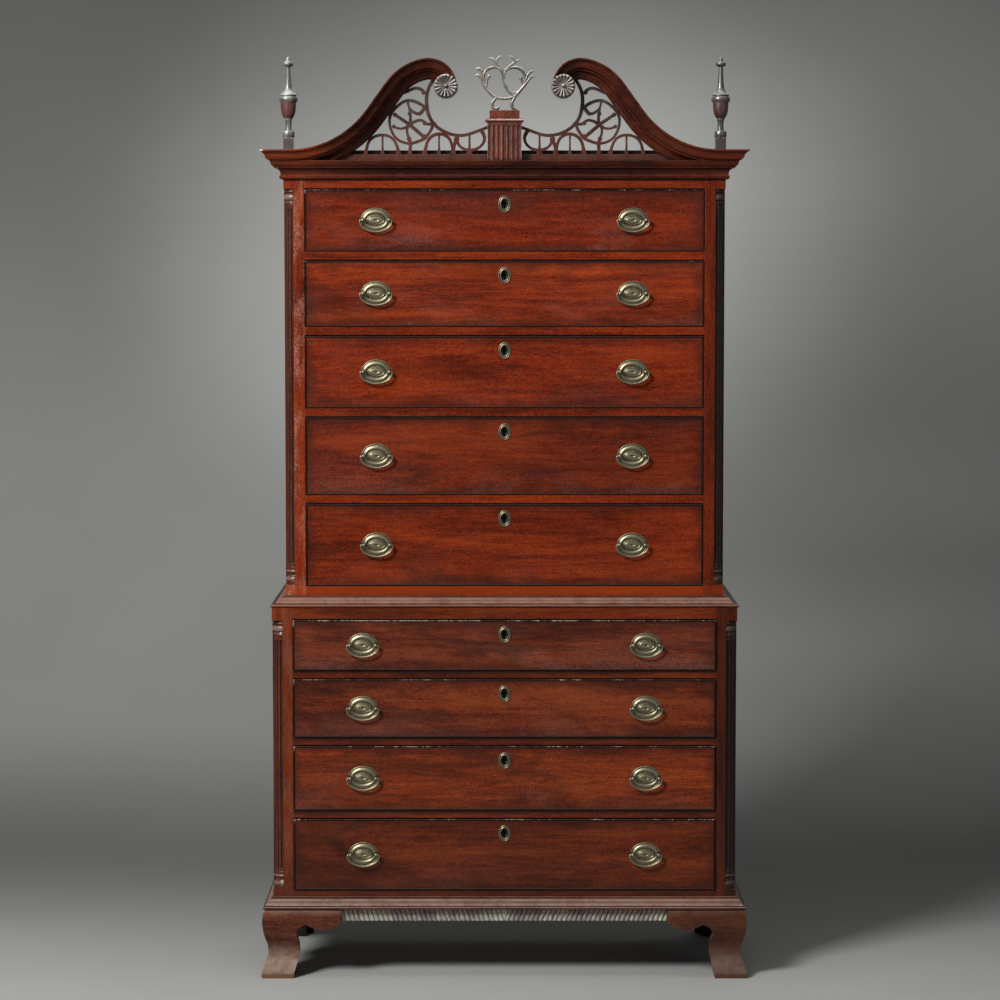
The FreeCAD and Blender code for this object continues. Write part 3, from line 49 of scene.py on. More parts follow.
# ------------ camera: metres, and millimetres for its lens
CAMERA_X = -0.0107
CAMERA_HEIGHT = 1.693
CAMERA_DISTANCE = 7.2
CAMERA_PITCH = math.radians(4.33)
CAMERA_LENS = 109.37

# ------------ sizes of the chest, in metres
LOWER_FRONT_Y = -0.2365
UPPER_FRONT_Y = -0.2035
LOWER_OPENING = 0.5055
UPPER_OPENING = 0.475
LOWER_PULL_X = 0.338
UPPER_PULL_X = 0.305
LOWER_PROUD = 0.003
UPPER_PROUD = 0.0005
UPPER_DRAWERS = 5
DRAWERS = 9
POST_HALF_SPACING = 0.031
BAIL_AXIS_OUT = 0.011
BAIL_BORE = 0.0021
FRONT_THICKNESS = 0.022
OPENING_OVER_FRONT = 0.0022  # gap over each drawer front
OPENING_UNDER_FRONT = 0.001  # gap under it
FOOT_GAP = 0.0003  # the opening's foot below the drawer's
ESCUTCHEON_DROP = 0.036  # keyhole below the top of the drawer opening
BEAD_PROUD = 0.0017
SIDE_THICKNESS = 0.012
SIDE_DROP = 0.006  # drawer sides stop short of the top of the front
LINING_RISE = 0.017  # top of the bottom panel over the foot of the front
BORDER_REACH, BEAD_REACH = 0.034, 0.0044  # dark border, and bead painted black as the shade of the gap round the front, from the edge
EDGE_MARK_DROP, EDGE_MARK_ASIDE = 0.0011, 0.0034  # chipping with painted highlight, from the top and the left edge
TAIL_LENGTH, TAIL_PITCH, TAIL_SLOPE = 0.014, 0.042, math.radians(9.0)
CROWN_CORNER = (-0.576, -0.2555, 1.976, 0.013)  # where its left tip is broken, and how far
WHOLE_LENGTH = 9.0  # longer than any line of dirt and painted shade
WAIST_FOOT, WAIST_TOP = 0.891, 0.916
BASE_FOOT, BASE_TOP = 0.166, 0.194
BED_FOOT = 1.907
FRET_FADE = 0.045  # the redder foot of the fretwork
COLUMN_LEVELS = [(0.211, 0.859), (0.942, 1.885)]  # foot and top of each quarter column
COLUMN_TORUS_DROP = 0.020  # the capital's big ring, below the top of the column
GLUE_BLOCK_X = 0.5492  # inner face of the foot's side board
FOOT_BOARD_BACK = -0.2310
UNDERSIDE_DEPTH = 0.4755  # from there to the front of the rear brackets
URN_LEVELS = (1.970, 2.005, 2.052, 2.089)  # block's foot and top, bowl's foot and top
FINIAL_SEAT = 2.069
FINIAL_MIDDLE_Y = -0.2055
FINIAL_DEPTH = 0.012
FINIAL_CURL = 0.0042


# ============ node helpers
class Graph:
    """The node tree of a new material or world, with short calls that add and link nodes."""

    def __init__(self, name, owners="materials", shader="Principled BSDF"):
        self.owner = getattr(bpy.data, owners).new(name)
        self.owner.use_nodes = True
        self.tree = self.owner.node_tree
        self.shader = self.tree.nodes[shader]

    def node(self, kind, inputs=None, **settings):
        """Adds a node; inputs maps a socket's name or number to a value or another socket."""
        made = self.tree.nodes.new("ShaderNode" + kind)
        for key, value in settings.items():
            setattr(made, key, value)
        for key, value in (inputs or {}).items():
            self.feed(made.inputs[key], value)
        return made

    def feed(self, socket, value):
        """Links a socket, or sets its value; a colour is three numbers."""
        if isinstance(value, bpy.types.NodeSocket):
            self.tree.links.new(value, socket)
        elif socket.type == "RGBA":
            socket.default_value = (*value, 1.0)
        else:
            socket.default_value = value

    def set(self, name, value):
        """Feeds one of the shader's sockets."""
        self.feed(self.shader.inputs[name], value)

    def show(self, shader):
        """Feeds the tree's output node."""
        output = [node for node in self.tree.nodes if node.type.startswith("OUTPUT")][0]
        self.feed(output.inputs["Surface"], shader.outputs[0])

    def math(self, operation, a, b=0.0, clamp=False):
        """One Math node's output."""
        return self.node("Math", {0: a, 1: b}, operation=operation, use_clamp=clamp).outputs[0]

    def add(self, a, b, clamp=False):
        """a + b."""
        return self.math("ADD", a, b, clamp)

    def minus(self, a, b):
        """a - b."""
        return self.math("SUBTRACT", a, b)

    def size(self, a):
        """a without its sign."""
        return self.math("ABSOLUTE", a)

    def least(self, a, b):
        """The smaller of two."""
        return self.math("MINIMUM", a, b)

    def most(self, a, b):
        """The larger of two."""
        return self.math("MAXIMUM", a, b)

    def below(self, a, b):
        """1 where a is less than b."""
        return self.math("LESS_THAN", a, b)

    def above(self, a, b):
        """1 where a is more than b."""
        return self.math("GREATER_THAN", a, b)

    def product(self, *factors):
        """All factors multiplied."""
        result = factors[0]
        for factor in factors[1:]:
            result = self.math("MULTIPLY", result, factor)
        return result

    def blend_of(self, *shares):
        """A weighted sum of (value, weight) pairs."""
        result = self.math("MULTIPLY", *shares[0])
        for value, weight in shares[1:]:
            result = self.add(result, self.math("MULTIPLY", value, weight))
        return result

    def span(self, value, low, high, out_low=0.0, out_high=1.0):
        """Maps low..high to out_low..out_high, clamped and smooth."""
        made = self.node("MapRange", {"Value": value, "From Min": low, "From Max": high,
                                      "To Min": out_low, "To Max": out_high},
                         interpolation_type="SMOOTHSTEP")
        return made.outputs["Result"]

    def mix(self, factor, a, b):
        """Mixes two colours."""
        made = self.node("Mix", data_type="RGBA")
        self.feed(made.inputs[0], factor)
        self.feed(made.inputs[6], a)
        self.feed(made.inputs[7], b)
        return made.outputs[2]

    def noise(self, vector, scale, detail=4.0, roughness=0.55, distortion=0.0):
        """A noise texture's value."""
        made = self.node("TexNoise", {"Vector": vector, "Scale": scale, "Detail": detail,
                                      "Roughness": roughness, "Distortion": distortion})
        return made.outputs["Fac"]

    def stretch(self, vector, scale, place=(0.0, 0.0, 0.0)):
        """The vector scaled by axis and moved."""
        inputs = {"Vector": vector, "Scale": scale, "Location": place}
        return self.node("Mapping", inputs).outputs[0]

    def streaks(self, vector, scale, detail, *rest, place=(0.0, 0.0, 0.0)):
        """Noise that is stretched by axis."""
        return self.noise(self.stretch(vector, scale, place), 1.0, detail, *rest)

    def ramp(self, value, stops):
        """A colour ramp with (position, colour) stops."""
        made = self.node("ValToRGB", {"Fac": value})
        elements = made.color_ramp.elements
        while len(elements) < len(stops):
            elements.new(0.5)
        for element, (position, colour) in zip(elements, stops):
            element.position = position
            element.color = (*colour, 1.0)
        return made.outputs["Color"]

    def drift(self, vector, reach, scale, detail):
        """Noise about zero that strays over a total reach."""
        return self.product(self.minus(self.noise(vector, scale, detail, 0.7), 0.5), reach)

    def choose(self, test, no, yes):
        """One of two vectors, the second where the test is 1."""
        made = self.node("Mix", data_type="VECTOR")
        self.feed(made.inputs[0], test)
        self.feed(made.inputs[4], no)
        self.feed(made.inputs[5], yes)
        return made.outputs[1]

    def vector(self, x, y, z=0.0):
        """A vector from three numbers."""
        return self.node("CombineXYZ", {0: x, 1: y, 2: z}).outputs[0]

    def rounded_normal(self, radius):
        """The normal as if the edges were rounded."""
        return self.node("Bevel", {"Radius": radius}, samples=4).outputs[0]

    def at_edges(self, rounded, flat, sharp):
        """How far the rounded normal leaves the true one, between two cosines."""
        normal = self.node("NewGeometry").outputs["Normal"]
        bend = self.node("VectorMath", {0: rounded, 1: normal}, operation="DOT_PRODUCT")
        return self.span(bend.outputs["Value"], flat, sharp)

    def open_air(self, distance, samples):
        """Ambient occlusion: 1 in the open, 0 in a deep hollow."""
        return self.node("AmbientOcclusion", {"Distance": distance}, samples=samples).outputs["AO"]

    def finish(self, colour, rough, relief, normal=None):
        """Feeds the shader; relief is the bump's (height, strength, distance)."""
        inputs = dict(zip(("Height", "Strength", "Distance"), relief))
        if normal is not None:
            inputs["Normal"] = normal
        self.set("Base Color", colour)
        self.set("Roughness", rough)
        self.set("Normal", self.node("Bump", inputs).outputs["Normal"])
        return self.owner

    def parts(self, vector):
        """A vector's three numbers."""
        return self.node("SeparateXYZ", {0: vector}).outputs

    def place(self):
        """The point in the object's own metres."""
        return self.node("TexCoord").outputs["Object"]


def shade(colour, factor):
    """A colour made darker or lighter."""
    return tuple(value * factor for value in colour)


# ============ woods
CHERRY = (0.118, 0.0165, 0.0045)
CHERRY_ORANGE = (0.162, 0.0172, 0.0027)
SHELLAC_SHINE = 0.22
# A dark colour for dirt, for dark streaks in the figure, and for painted shade in hollows, gaps
# and quirks.
DIRT_AND_SHADE = (0.010, 0.0035, 0.0022)
BLOOM = (0.36, 0.175, 0.135)
MOTTLE = (0.50, 0.28, 0.20)
# Dust, with painted sheen, on surfaces that face up.
DUST_AND_SHEEN = (0.170, 0.105, 0.082)
# Pale chipping, which along the top edges is also a painted highlight.
CHIP_AND_HIGHLIGHT = (0.50, 0.42, 0.36)
BORDER = (0.026, 0.0068, 0.0040)
SMOKE = (0.145, 0.062, 0.060)
# Painted shade on the right-hand post.
POST_SHADE = (0.012, 0.0040, 0.0024)
# Painted shadow under the proud lower fronts.
UNDER_DRAWER_SHADOW = (0.022, 0.0072, 0.0042)
# Rubbed pale edges, also a painted highlight along them.
RUB_AND_HIGHLIGHT = (0.30, 0.17, 0.12)
TORN_WOOD = (0.62, 0.42, 0.27)
SCUFF, WORN_TOE = (0.275, 0.200, 0.155), (0.115, 0.042, 0.014)
# Painted shade on the right-hand feet and behind the foot boards.
FOOT_SHADE, BEHIND_FOOT_SHADE = (0.012, 0.006, 0.004), (0.006, 0.004, 0.003)
# Dirt and painted shade in carved hollows, and painted shade on the right.
HOLLOW_DIRT_AND_SHADE, CARVED_SHADE = (0.008, 0.0042, 0.003), (0.010, 0.007, 0.005)
# Painted highlight on the columns' rings.
PAINTED_RING_HIGHLIGHT = (0.30, 0.20, 0.15)
POPLAR_DARK, POPLAR = (0.21, 0.115, 0.055), (0.37, 0.220, 0.110)
POPLAR_LIGHT, GRIME = (0.50, 0.325, 0.175), (0.10, 0.062, 0.034)
OLD_BOARD, BOARD_GAP = (0.115, 0.066, 0.034), (0.012, 0.008, 0.005)


def grain_coordinates(graph, seed, lie):
    """Coordinates with X along the grain; lie is "level", "upright" or a half opening's width."""
    place = graph.place()
    parts = graph.parts(place)
    upright = graph.vector(parts[2], parts[1], parts[0])
    if lie == "level":
        along = place
    elif lie == "upright":
        along = upright
    else:
        is_stile = graph.above(graph.size(parts[0]), lie)
        along = graph.choose(is_stile, place, upright)
    shift = (seed * 3.17 % 7.0, seed * 1.31 % 5.0, seed * 2.23 % 6.0)
    return graph.stretch(along, (1.0, 1.0, 1.0), shift), parts


def wood_figure(graph, along, mid, cloud):
    """Colour of polished cherry: broad figure, streaks, fibre, stipple and dark smears."""
    broad = graph.streaks(along, (1.5, 9.0, 12.0), 5.0, 0.6, 0.9)
    streaks = graph.streaks(along, (9.0, 60.0, 120.0), 5.0, 0.66, 0.5)
    fibre = graph.streaks(along, (60.0, 300.0, 400.0), 3.0, 0.6)
    stipple = graph.noise(along, 270.0, 3.0, 0.75)
    tone = graph.blend_of((broad, 0.33), (streaks, 0.22), (fibre, 0.15), (stipple, 0.30))
    dark = (mid[0] * 0.34, mid[1] * 0.36, mid[2] * 0.50)
    light = (mid[0] * 1.62, mid[1] * 2.05, mid[2] * 1.75)
    colour = graph.ramp(tone, [(0.425, dark), (0.50, mid), (0.578, light)])
    smear = graph.streaks(along, (2.1, 4.5, 7.5), 6.0, 0.70, 1.2, place=(3.1, 0.0, 1.7))
    colour = graph.mix(graph.span(smear, 0.46, 0.66, 0.0, cloud), colour,
                       (mid[0] * 0.20, mid[1] * 0.34, mid[2] * 0.60))
    streak = graph.streaks(along, (4.5, 20.0, 50.0), 6.0, 0.75, 0.9, place=(0.0, 2.3, 5.1))
    colour = graph.mix(graph.span(streak, 0.55, 0.70, 0.0, 0.62 * cloud), colour, DIRT_AND_SHADE)
    return colour, fibre, stipple


def poplar_figure(graph, along):
    """Colour of bare, oxidised poplar with broad bands and grime."""
    bands = graph.streaks(along, (1.2, 30.0, 30.0), 5.0, 0.6, 0.8)
    fibre = graph.streaks(along, (10.0, 500.0, 500.0), 3.0)
    tone = graph.blend_of((bands, 0.7), (fibre, 0.3))
    colour = graph.ramp(tone, [(0.38, POPLAR_DARK), (0.5, POPLAR), (0.62, POPLAR_LIGHT)])
    grime = graph.span(graph.noise(along, 5.0, 5.0, 0.65), 0.45, 0.7, 0.0, 0.6)
    return graph.mix(grime, colour, GRIME), fibre


def front_wear(graph, along, parts, colour, front):
    """A drawer front's bead painted black as the shade of the gap round it, dark border, bloom in
    the old finish, and chipping along the top edge that is also a painted highlight.
    """
    (x0, x1, z0, z1, y0), haze, chips_and_highlight = front
    from_left, down = graph.minus(parts[0], x0), graph.minus(z1, parts[2])
    sides = graph.least(from_left, graph.minus(x1, parts[0]))
    rim = graph.least(sides, graph.least(graph.minus(parts[2], z0), down))
    near = graph.add(rim, graph.drift(along, 0.075, 14.0, 6.0))
    colour = graph.mix(graph.span(near, BORDER_REACH, 0.0, 0.0, 0.60), colour, BORDER)
    speck = graph.noise(along, 520.0, 2.0, 0.8)
    patch = graph.streaks(along, (3.2, 1.0, 7.0), 5.0, 0.65, 0.8, place=(1.3, 4.1, 0.4))
    low = graph.span(parts[2], z0 + 0.60 * (z1 - z0), z0 + 0.05 * (z1 - z0), 0.16, 1.0)
    bloom = graph.product(graph.span(speck, 0.50, 0.68), graph.span(patch, 0.42, 0.62), low, haze)
    colour = graph.mix(bloom, colour, BLOOM)
    smoke = graph.product(graph.span(patch, 0.50, 0.66), low, 0.32 * haze)
    colour = graph.mix(smoke, colour, SMOKE)
    # Painted shade: the bead is painted black for the shadowed gap round the front.
    bead_shade_reach = graph.add(rim, graph.drift(along, 0.0030, 260.0, 3.0))
    colour = graph.mix(graph.span(bead_shade_reach, BEAD_REACH, 0.0030, 0.0, 0.90), colour, DIRT_AND_SHADE)
    # Pale chipping along the top edge and down the left corner, which is also a painted highlight
    # where the light catches the edge.
    run = graph.streaks(graph.place(), (14.0, 0.0, 0.0), 6.0, 0.85,
                        place=(x0 * 9.0, z0 * 40.0, 0.0))
    ragged = graph.add(parts[2], graph.drift(along, 0.008, 330.0, 4.0))
    at_top = graph.above(ragged, z1 - EDGE_MARK_DROP)
    run_down = graph.span(graph.add(down, graph.product(run, 0.06)), 0.046, 0.030, 0.0, 0.8)
    at_corner = graph.product(graph.below(from_left, EDGE_MARK_ASIDE), run_down, min(1.0, 1.4 * chips_and_highlight))
    at_face = graph.below(parts[1], y0 + 0.005)
    broken_up = graph.span(graph.noise(along, 210.0, 3.0, 0.8),
                           0.58 - 0.26 * chips_and_highlight, 0.66 - 0.20 * chips_and_highlight)
    edge = graph.product(at_top, graph.span(run, 0.60 - 0.15 * chips_and_highlight, 0.68 - 0.15 * chips_and_highlight))
    chip_and_highlight = graph.product(graph.most(edge, at_corner), at_face, broken_up)
    return graph.mix(graph.product(chip_and_highlight, 0.72), colour, CHIP_AND_HIGHLIGHT)


def drawer_linings(graph, along, parts, colour, front):
    """Bare poplar behind the front board, with its half-blind dovetails let into the ends."""
    x0, _x1, z0, z1, y0 = front[0]
    joint = y0 + BEAD_PROUD + FRONT_THICKNESS
    foot, top = z0 + LINING_RISE, z1 - SIDE_DROP
    pitch = (top - foot) / max(2, round((top - foot) / TAIL_PITCH))
    turn = graph.math("FRACT", graph.math("DIVIDE", graph.minus(parts[2], foot), pitch))
    off = graph.size(graph.minus(turn, 0.5))
    depth = graph.minus(joint, parts[1])
    width = graph.add(graph.product(depth, math.tan(TAIL_SLOPE)), pitch / 4)
    aside = graph.size(parts[0])
    tail = graph.product(graph.below(graph.product(off, pitch), width),
                         graph.below(depth, TAIL_LENGTH), graph.above(aside, -x0 - SIDE_THICKNESS),
                         graph.above(parts[2], foot), graph.below(parts[2], top))
    behind = graph.above(parts[1], joint)
    across = graph.vector(parts[1], parts[0], parts[2])
    on_side = graph.above(aside, -x0 - SIDE_THICKNESS - MM)
    pale, _fibre = poplar_figure(graph, graph.choose(on_side, along, across))
    return graph.mix(graph.most(tail, behind), colour, pale)


def case_tones(graph, along, parts, colour, tones):
    """A face frame's mottled left post, painted shade on its right post, and painted shadow, with
    grime, under the drawers.
    """
    post, mottle, right, shadows = tones
    left = graph.span(parts[0], -post + 0.004, -post - 0.004)
    patch = graph.streaks(along, (9.0, 30.0, 30.0), 5.0, 0.7)
    speck = graph.noise(along, 420.0, 3.0, 0.8)
    spots = graph.product(left, graph.span(patch, 0.40, 0.62), graph.span(speck, 0.42, 0.66),
                          mottle)
    colour = graph.mix(spots, colour, MOTTLE)
    # Painted shade: the right post is darker, away from the light.
    on_right = graph.span(parts[0], post - 0.010, post + 0.006, 0.0, right)
    colour = graph.mix(on_right, colour, POST_SHADE)
    wander = graph.drift(along, 0.014, 9.0, 5.0)
    # Painted shadow under each proud lower front, with grime under the lowest.
    for foot, depth, weight in shadows:
        under = graph.add(graph.minus(foot, parts[2]), wander)
        band = graph.product(graph.span(under, depth, depth * 0.35, 0.0, weight),
                             graph.above(under, -0.008), graph.below(graph.size(parts[0]), post))
        colour = graph.mix(band, colour, UNDER_DRAWER_SHADOW)
    return colour


def lined(graph, along, parts, colour, quirks):
    """Dirt and painted shade along level lines, in quirks and gaps and under overhangs; each is
    (level, half height, weight, half length).
    """
    level = graph.add(parts[2], graph.drift(along, 0.0016, 60.0, 4.0))
    aside = graph.size(parts[0])
    for height, half, weight, reach in quirks:
        off = graph.size(graph.minus(level, height))
        line = graph.span(off, half, half * 0.4, 0.0, weight)
        # Dirt and painted shade along the line.
        colour = graph.mix(graph.product(line, graph.below(aside, reach)), colour, DIRT_AND_SHADE)
    return colour


def whole(*lines):
    """Lines of dirt and painted shade that run the whole length."""
    return [(*line, WHOLE_LENGTH) for line in lines]


def reddened_and_lit(graph, along, parts, colour, warm_lit_ends):
    """Orange wood and painted highlight towards both ends, stronger on the left; the settings are
    (from half width, to half width, weight, colour).
    """
    start, end, weight, warm = warm_lit_ends
    ragged = graph.add(graph.size(parts[0]), graph.drift(along, 0.25, 14.0, 5.0))
    # Painted highlight: stronger towards the left, where the light comes from.
    leaning = graph.span(parts[0], -0.3, 0.4, 1.0, 0.35)
    patch = graph.streaks(along, (8.0, 60.0, 90.0), 5.0, 0.7)
    red = graph.product(graph.span(ragged, start, end, 0.0, weight), leaning,
                        graph.span(patch, 0.42, 0.58, 0.40, 1.0))
    return graph.mix(red, colour, warm)


def scuffed_and_shaded_foot(graph, along, parts, colour, foot_scuff_and_shade):
    """Pale scuffs near the floor, painted shade on the right-hand feet, and painted shade behind
    the foot boards.
    """
    height, weight, inner_x, board_back, depth = foot_scuff_and_shade
    ragged = graph.add(parts[2], graph.drift(along, 0.05, 24.0, 5.0))
    spots = graph.span(graph.noise(along, 55.0, 6.0, 0.8), 0.30, 0.66, 0.35, 1.0)
    side = graph.span(parts[0], -0.4, 0.4, 1.0, 0.75)
    low = graph.span(ragged, height, height * 0.35, 0.0, weight)
    colour = graph.mix(graph.product(low, spots, side), colour, SCUFF)
    toe = graph.add(parts[2], graph.product(graph.noise(along, 90.0), 0.008))
    colour = graph.mix(graph.span(toe, 0.017, 0.011, 0.0, 0.75), colour, WORN_TOE)
    # Painted shade on the feet towards the right.
    colour = graph.mix(graph.span(parts[0], 0.2, 0.5, 0.0, 0.45), colour, FOOT_SHADE)
    # Painted shade: nearly black behind the foot boards.
    shaded_behind = graph.product(graph.above(parts[1], board_back),
                           graph.below(parts[1], board_back + depth),
                           graph.below(graph.size(parts[0]), inner_x))
    return graph.mix(graph.product(shaded_behind, 0.93), colour, BEHIND_FOOT_SHADE)


def banded(graph, along, parts, colour, bands):
    """Level bands of another colour; each is (foot, top, soft, weight, colour)."""
    level = graph.add(parts[2], graph.drift(along, 0.004, 40.0, 4.0))
    for foot, top, soft, weight, tint in bands:
        inside = graph.product(graph.span(level, foot - soft, foot + soft),
                               graph.span(level, top + soft, top - soft), weight)
        colour = graph.mix(inside, colour, tint)
    return colour


def worn_and_highlit_edges(graph, along, colour, rounded, weight):
    """Edges rubbed pale in patches, which is also a painted highlight along them."""
    patch = graph.span(graph.noise(along, 46.0, 5.0, 0.7), 0.40, 0.60)
    rub_and_highlight = graph.product(graph.at_edges(rounded, 0.998, 0.88), patch, weight)
    return graph.mix(rub_and_highlight, colour, RUB_AND_HIGHLIGHT)


def broken_tip(graph, along, colour, broken):
    """Torn wood round a broken corner; broken = (x, y, z, reach)."""
    *corner, reach = broken
    away = graph.node("VectorMath", {0: graph.place(), 1: corner}, operation="DISTANCE")
    ragged = graph.product(graph.noise(along, 120.0, 4.0, 0.7), 0.012)
    torn = graph.span(graph.add(away.outputs["Value"], ragged), reach + 0.003, reach)
    return graph.mix(torn, colour, TORN_WOOD)


def layered(graph, along, parts, colour, *layers):
    """Lays over the colour each (layer, settings) whose settings aren't empty."""
    for layer, settings in layers:
        if settings:
            colour = layer(graph, along, parts, colour, settings)
    return colour


# dust sets the dust and painted sheen on surfaces that face up, worn the rubbed edges with their
# painted highlight, and hollows the reach of the dirt and painted shade in hollows.
def cherry(name, seed, lie="level", mid=CHERRY, cloud=0.6, dust=0.2, worn=0.0, front=None,
           tones=None, dust_and_sheen_colour=DUST_AND_SHEEN, gloss=0.26, broken=None, quirks=(), warm_lit_ends=None,
           foot_scuff_and_shade=None, hollows=0.009, bands=()):
    """Old cherry under worn shellac, with dust and painted sheen on surfaces that face up; front =
    (edges, haze, chipping and highlight) marks a drawer front.
    """
    graph = Graph(name)
    along, parts = grain_coordinates(graph, seed, lie)
    colour, fibre, stipple = wood_figure(graph, along, mid, cloud)
    colour = layered(graph, along, parts, colour, (banded, bands), (reddened_and_lit, warm_lit_ends),
                     (case_tones, tones), (front_wear, front), (drawer_linings, front))
    rounded = graph.rounded_normal(0.0012)
    if front is None:
        # Darker in hollows: dirt, and painted shade from ambient occlusion.
        open_air = graph.open_air(hollows, 6)
        colour = graph.mix(graph.span(open_air, 0.70, 0.30, 0.0, 0.85), colour, DIRT_AND_SHADE)
    # Dust, with painted sheen of the light, on surfaces that face up.
    upward = graph.parts(rounded)[2]
    lying = graph.span(graph.noise(along, 30.0, 5.0, 0.65), 0.30, 0.60, 0.45, 1.0)
    dust_and_sheen = graph.product(graph.span(upward, 0.10, 0.85), lying, dust)
    colour = graph.mix(dust_and_sheen, colour, dust_and_sheen_colour)
    colour = layered(graph, along, parts, colour, (lined, quirks), (scuffed_and_shaded_foot, foot_scuff_and_shade))
    # Rubbed edges, with a painted highlight along them.
    if worn:
        colour = worn_and_highlit_edges(graph, along, colour, rounded, worn)
    if broken is not None:
        colour = broken_tip(graph, along, colour, broken)
    rough = graph.span(graph.noise(along, 16.0, 4.0), 0.3, 0.7, gloss - 0.05, gloss + 0.10)
    rough = graph.add(rough, graph.product(dust_and_sheen, 0.22), clamp=True)
    relief = graph.blend_of((fibre, 0.5), (stipple, 0.5))
    graph.set("Specular IOR Level", SHELLAC_SHINE)
    return graph.finish(colour, rough, (relief, 0.16, 0.0006), rounded)


def carved_wood(name, seed, mid, silver, gloss=0.26, tip=(0.40, 0.35, 0.31), hollow=0.9,
                bands=(), spare=(0.88, 0.42), right=1.0, soft_rings=(), shine=0.55, cloud=0.7):
    """Carving with dirt and painted shade in its hollows, grey on its high spots from rubbing,
    dust and painted sheen, and painted shade on its right side when right is below 1.
    """
    graph = Graph(name)
    along, parts = grain_coordinates(graph, seed, "upright")
    colour, fibre, _stipple = wood_figure(graph, along, mid, cloud)
    colour = banded(graph, along, parts, colour, bands)
    rounded = graph.rounded_normal(0.0014)
    open_air = graph.open_air(0.010, 8)
    # Dirt and painted shade in the hollows, from ambient occlusion.
    colour = graph.mix(graph.span(open_air, *spare, 0.0, hollow), colour, HOLLOW_DIRT_AND_SHADE)
    # Grey on surfaces that face up and on edges: rubbing and dust, with painted sheen.
    upward = graph.span(graph.parts(rounded)[2], 0.0, 0.85)
    edge = graph.at_edges(rounded, 0.999, 0.90)
    grey_patches = graph.span(graph.noise(along, 60.0, 5.0, 0.7), 0.36, 0.60, 0.25, 1.0)
    grey = graph.most(graph.product(upward, 0.8), edge)
    grey = graph.product(grey, grey_patches, graph.span(open_air, 0.45, 0.85), silver)
    colour = graph.mix(grey, colour, tip)
    # Painted shade: darker towards the right, away from the light.
    if right < 1.0:
        colour = graph.mix(graph.span(parts[0], 0.2, 0.5, 0.0, 1.0 - right), colour, CARVED_SHADE)
    rough = graph.span(graph.noise(along, 40.0, 4.0), 0.3, 0.7, gloss - 0.06, gloss + 0.12)
    for foot, top in soft_rings:
        on_ring = graph.product(graph.above(parts[2], foot), graph.below(parts[2], top), 0.07)
        rough = graph.add(rough, on_ring)
    graph.set("Specular IOR Level", shine)
    return graph.finish(colour, rough, (fibre, 0.22, 0.0006), rounded)


def poplar(name, seed, boards=None):
    """Bare secondary wood, pale and oxidised; boards = (foot, width) sets boards edge to edge."""
    graph = Graph(name)
    along, parts = grain_coordinates(graph, seed, "level")
    if boards is not None:
        count = graph.math("DIVIDE", graph.minus(parts[2], boards[0]), boards[1])
        board = graph.math("FLOOR", count)
        moved = graph.vector(graph.product(board, 1.7), board)
        along = graph.node("VectorMath", {0: along, 1: moved}, operation="ADD").outputs[0]
    colour, fibre = poplar_figure(graph, along)
    if boards is not None:
        tint = graph.math("FRACT", graph.product(board, 0.618))
        colour = graph.mix(graph.product(tint, 0.45), colour, OLD_BOARD)
        off = graph.size(graph.minus(count, graph.math("ROUND", count)))
        gap = graph.span(graph.product(off, boards[1]), 0.0022, 0.0008, 0.0, 0.92)
        colour = graph.mix(gap, colour, BOARD_GAP)
    return graph.finish(colour, 0.72, (fibre, 0.25, 0.0008))


# ============ brass
def aged_brass(name, seed):
    """Stamped brass, dull olive with patina and painted shade in the hollows and under the bail,
    and rubbed pale on the high spots.
    """
    graph = Graph(name)
    place = graph.stretch(graph.place(), (1.0, 1.0, 1.0), (seed * 1.7, seed * 0.9, seed * 2.1))
    open_air = graph.open_air(0.006, 8)
    blotch = graph.noise(place, 150.0, 5.0, 0.65)
    fine = graph.noise(place, 900.0, 3.0, 0.6)
    # Patina and painted shade: darker in hollows and under the bail, from ambient occlusion.
    clean_and_lit = graph.blend_of((open_air, 0.85), (blotch, 0.36))
    colour = graph.ramp(clean_and_lit, [(0.52, (0.004, 0.0034, 0.0022)), (0.80, (0.058, 0.046, 0.024)),
                                (1.02, (0.27, 0.235, 0.150))])
    green = graph.span(graph.noise(place, 60.0, 5.0, 0.7), 0.60, 0.74, 0.0, 0.35)
    colour = graph.mix(green, colour, (0.060, 0.080, 0.045))
    rough = graph.span(clean_and_lit, 0.45, 1.0, 0.62, 0.40)
    graph.set("Metallic", 0.9)
    return graph.finish(colour, rough, (graph.add(blotch, fine), 0.12, 0.0003))


def iron_and_keyhole_shade(name):
    """The dull plate behind a keyhole: dark metal, painted nearly black as the shade of an
    opening.
    """
    graph = Graph(name)
    tone = graph.noise(graph.place(), 500.0, 4.0, 0.6)
    colour = graph.ramp(tone, [(0.35, (0.002, 0.0018, 0.0015)), (0.70, (0.008, 0.007, 0.005))])
    graph.set("Base Color", colour)
    graph.set("Roughness", 0.6)
    graph.set("Specular IOR Level", 0.2)
    return graph.owner


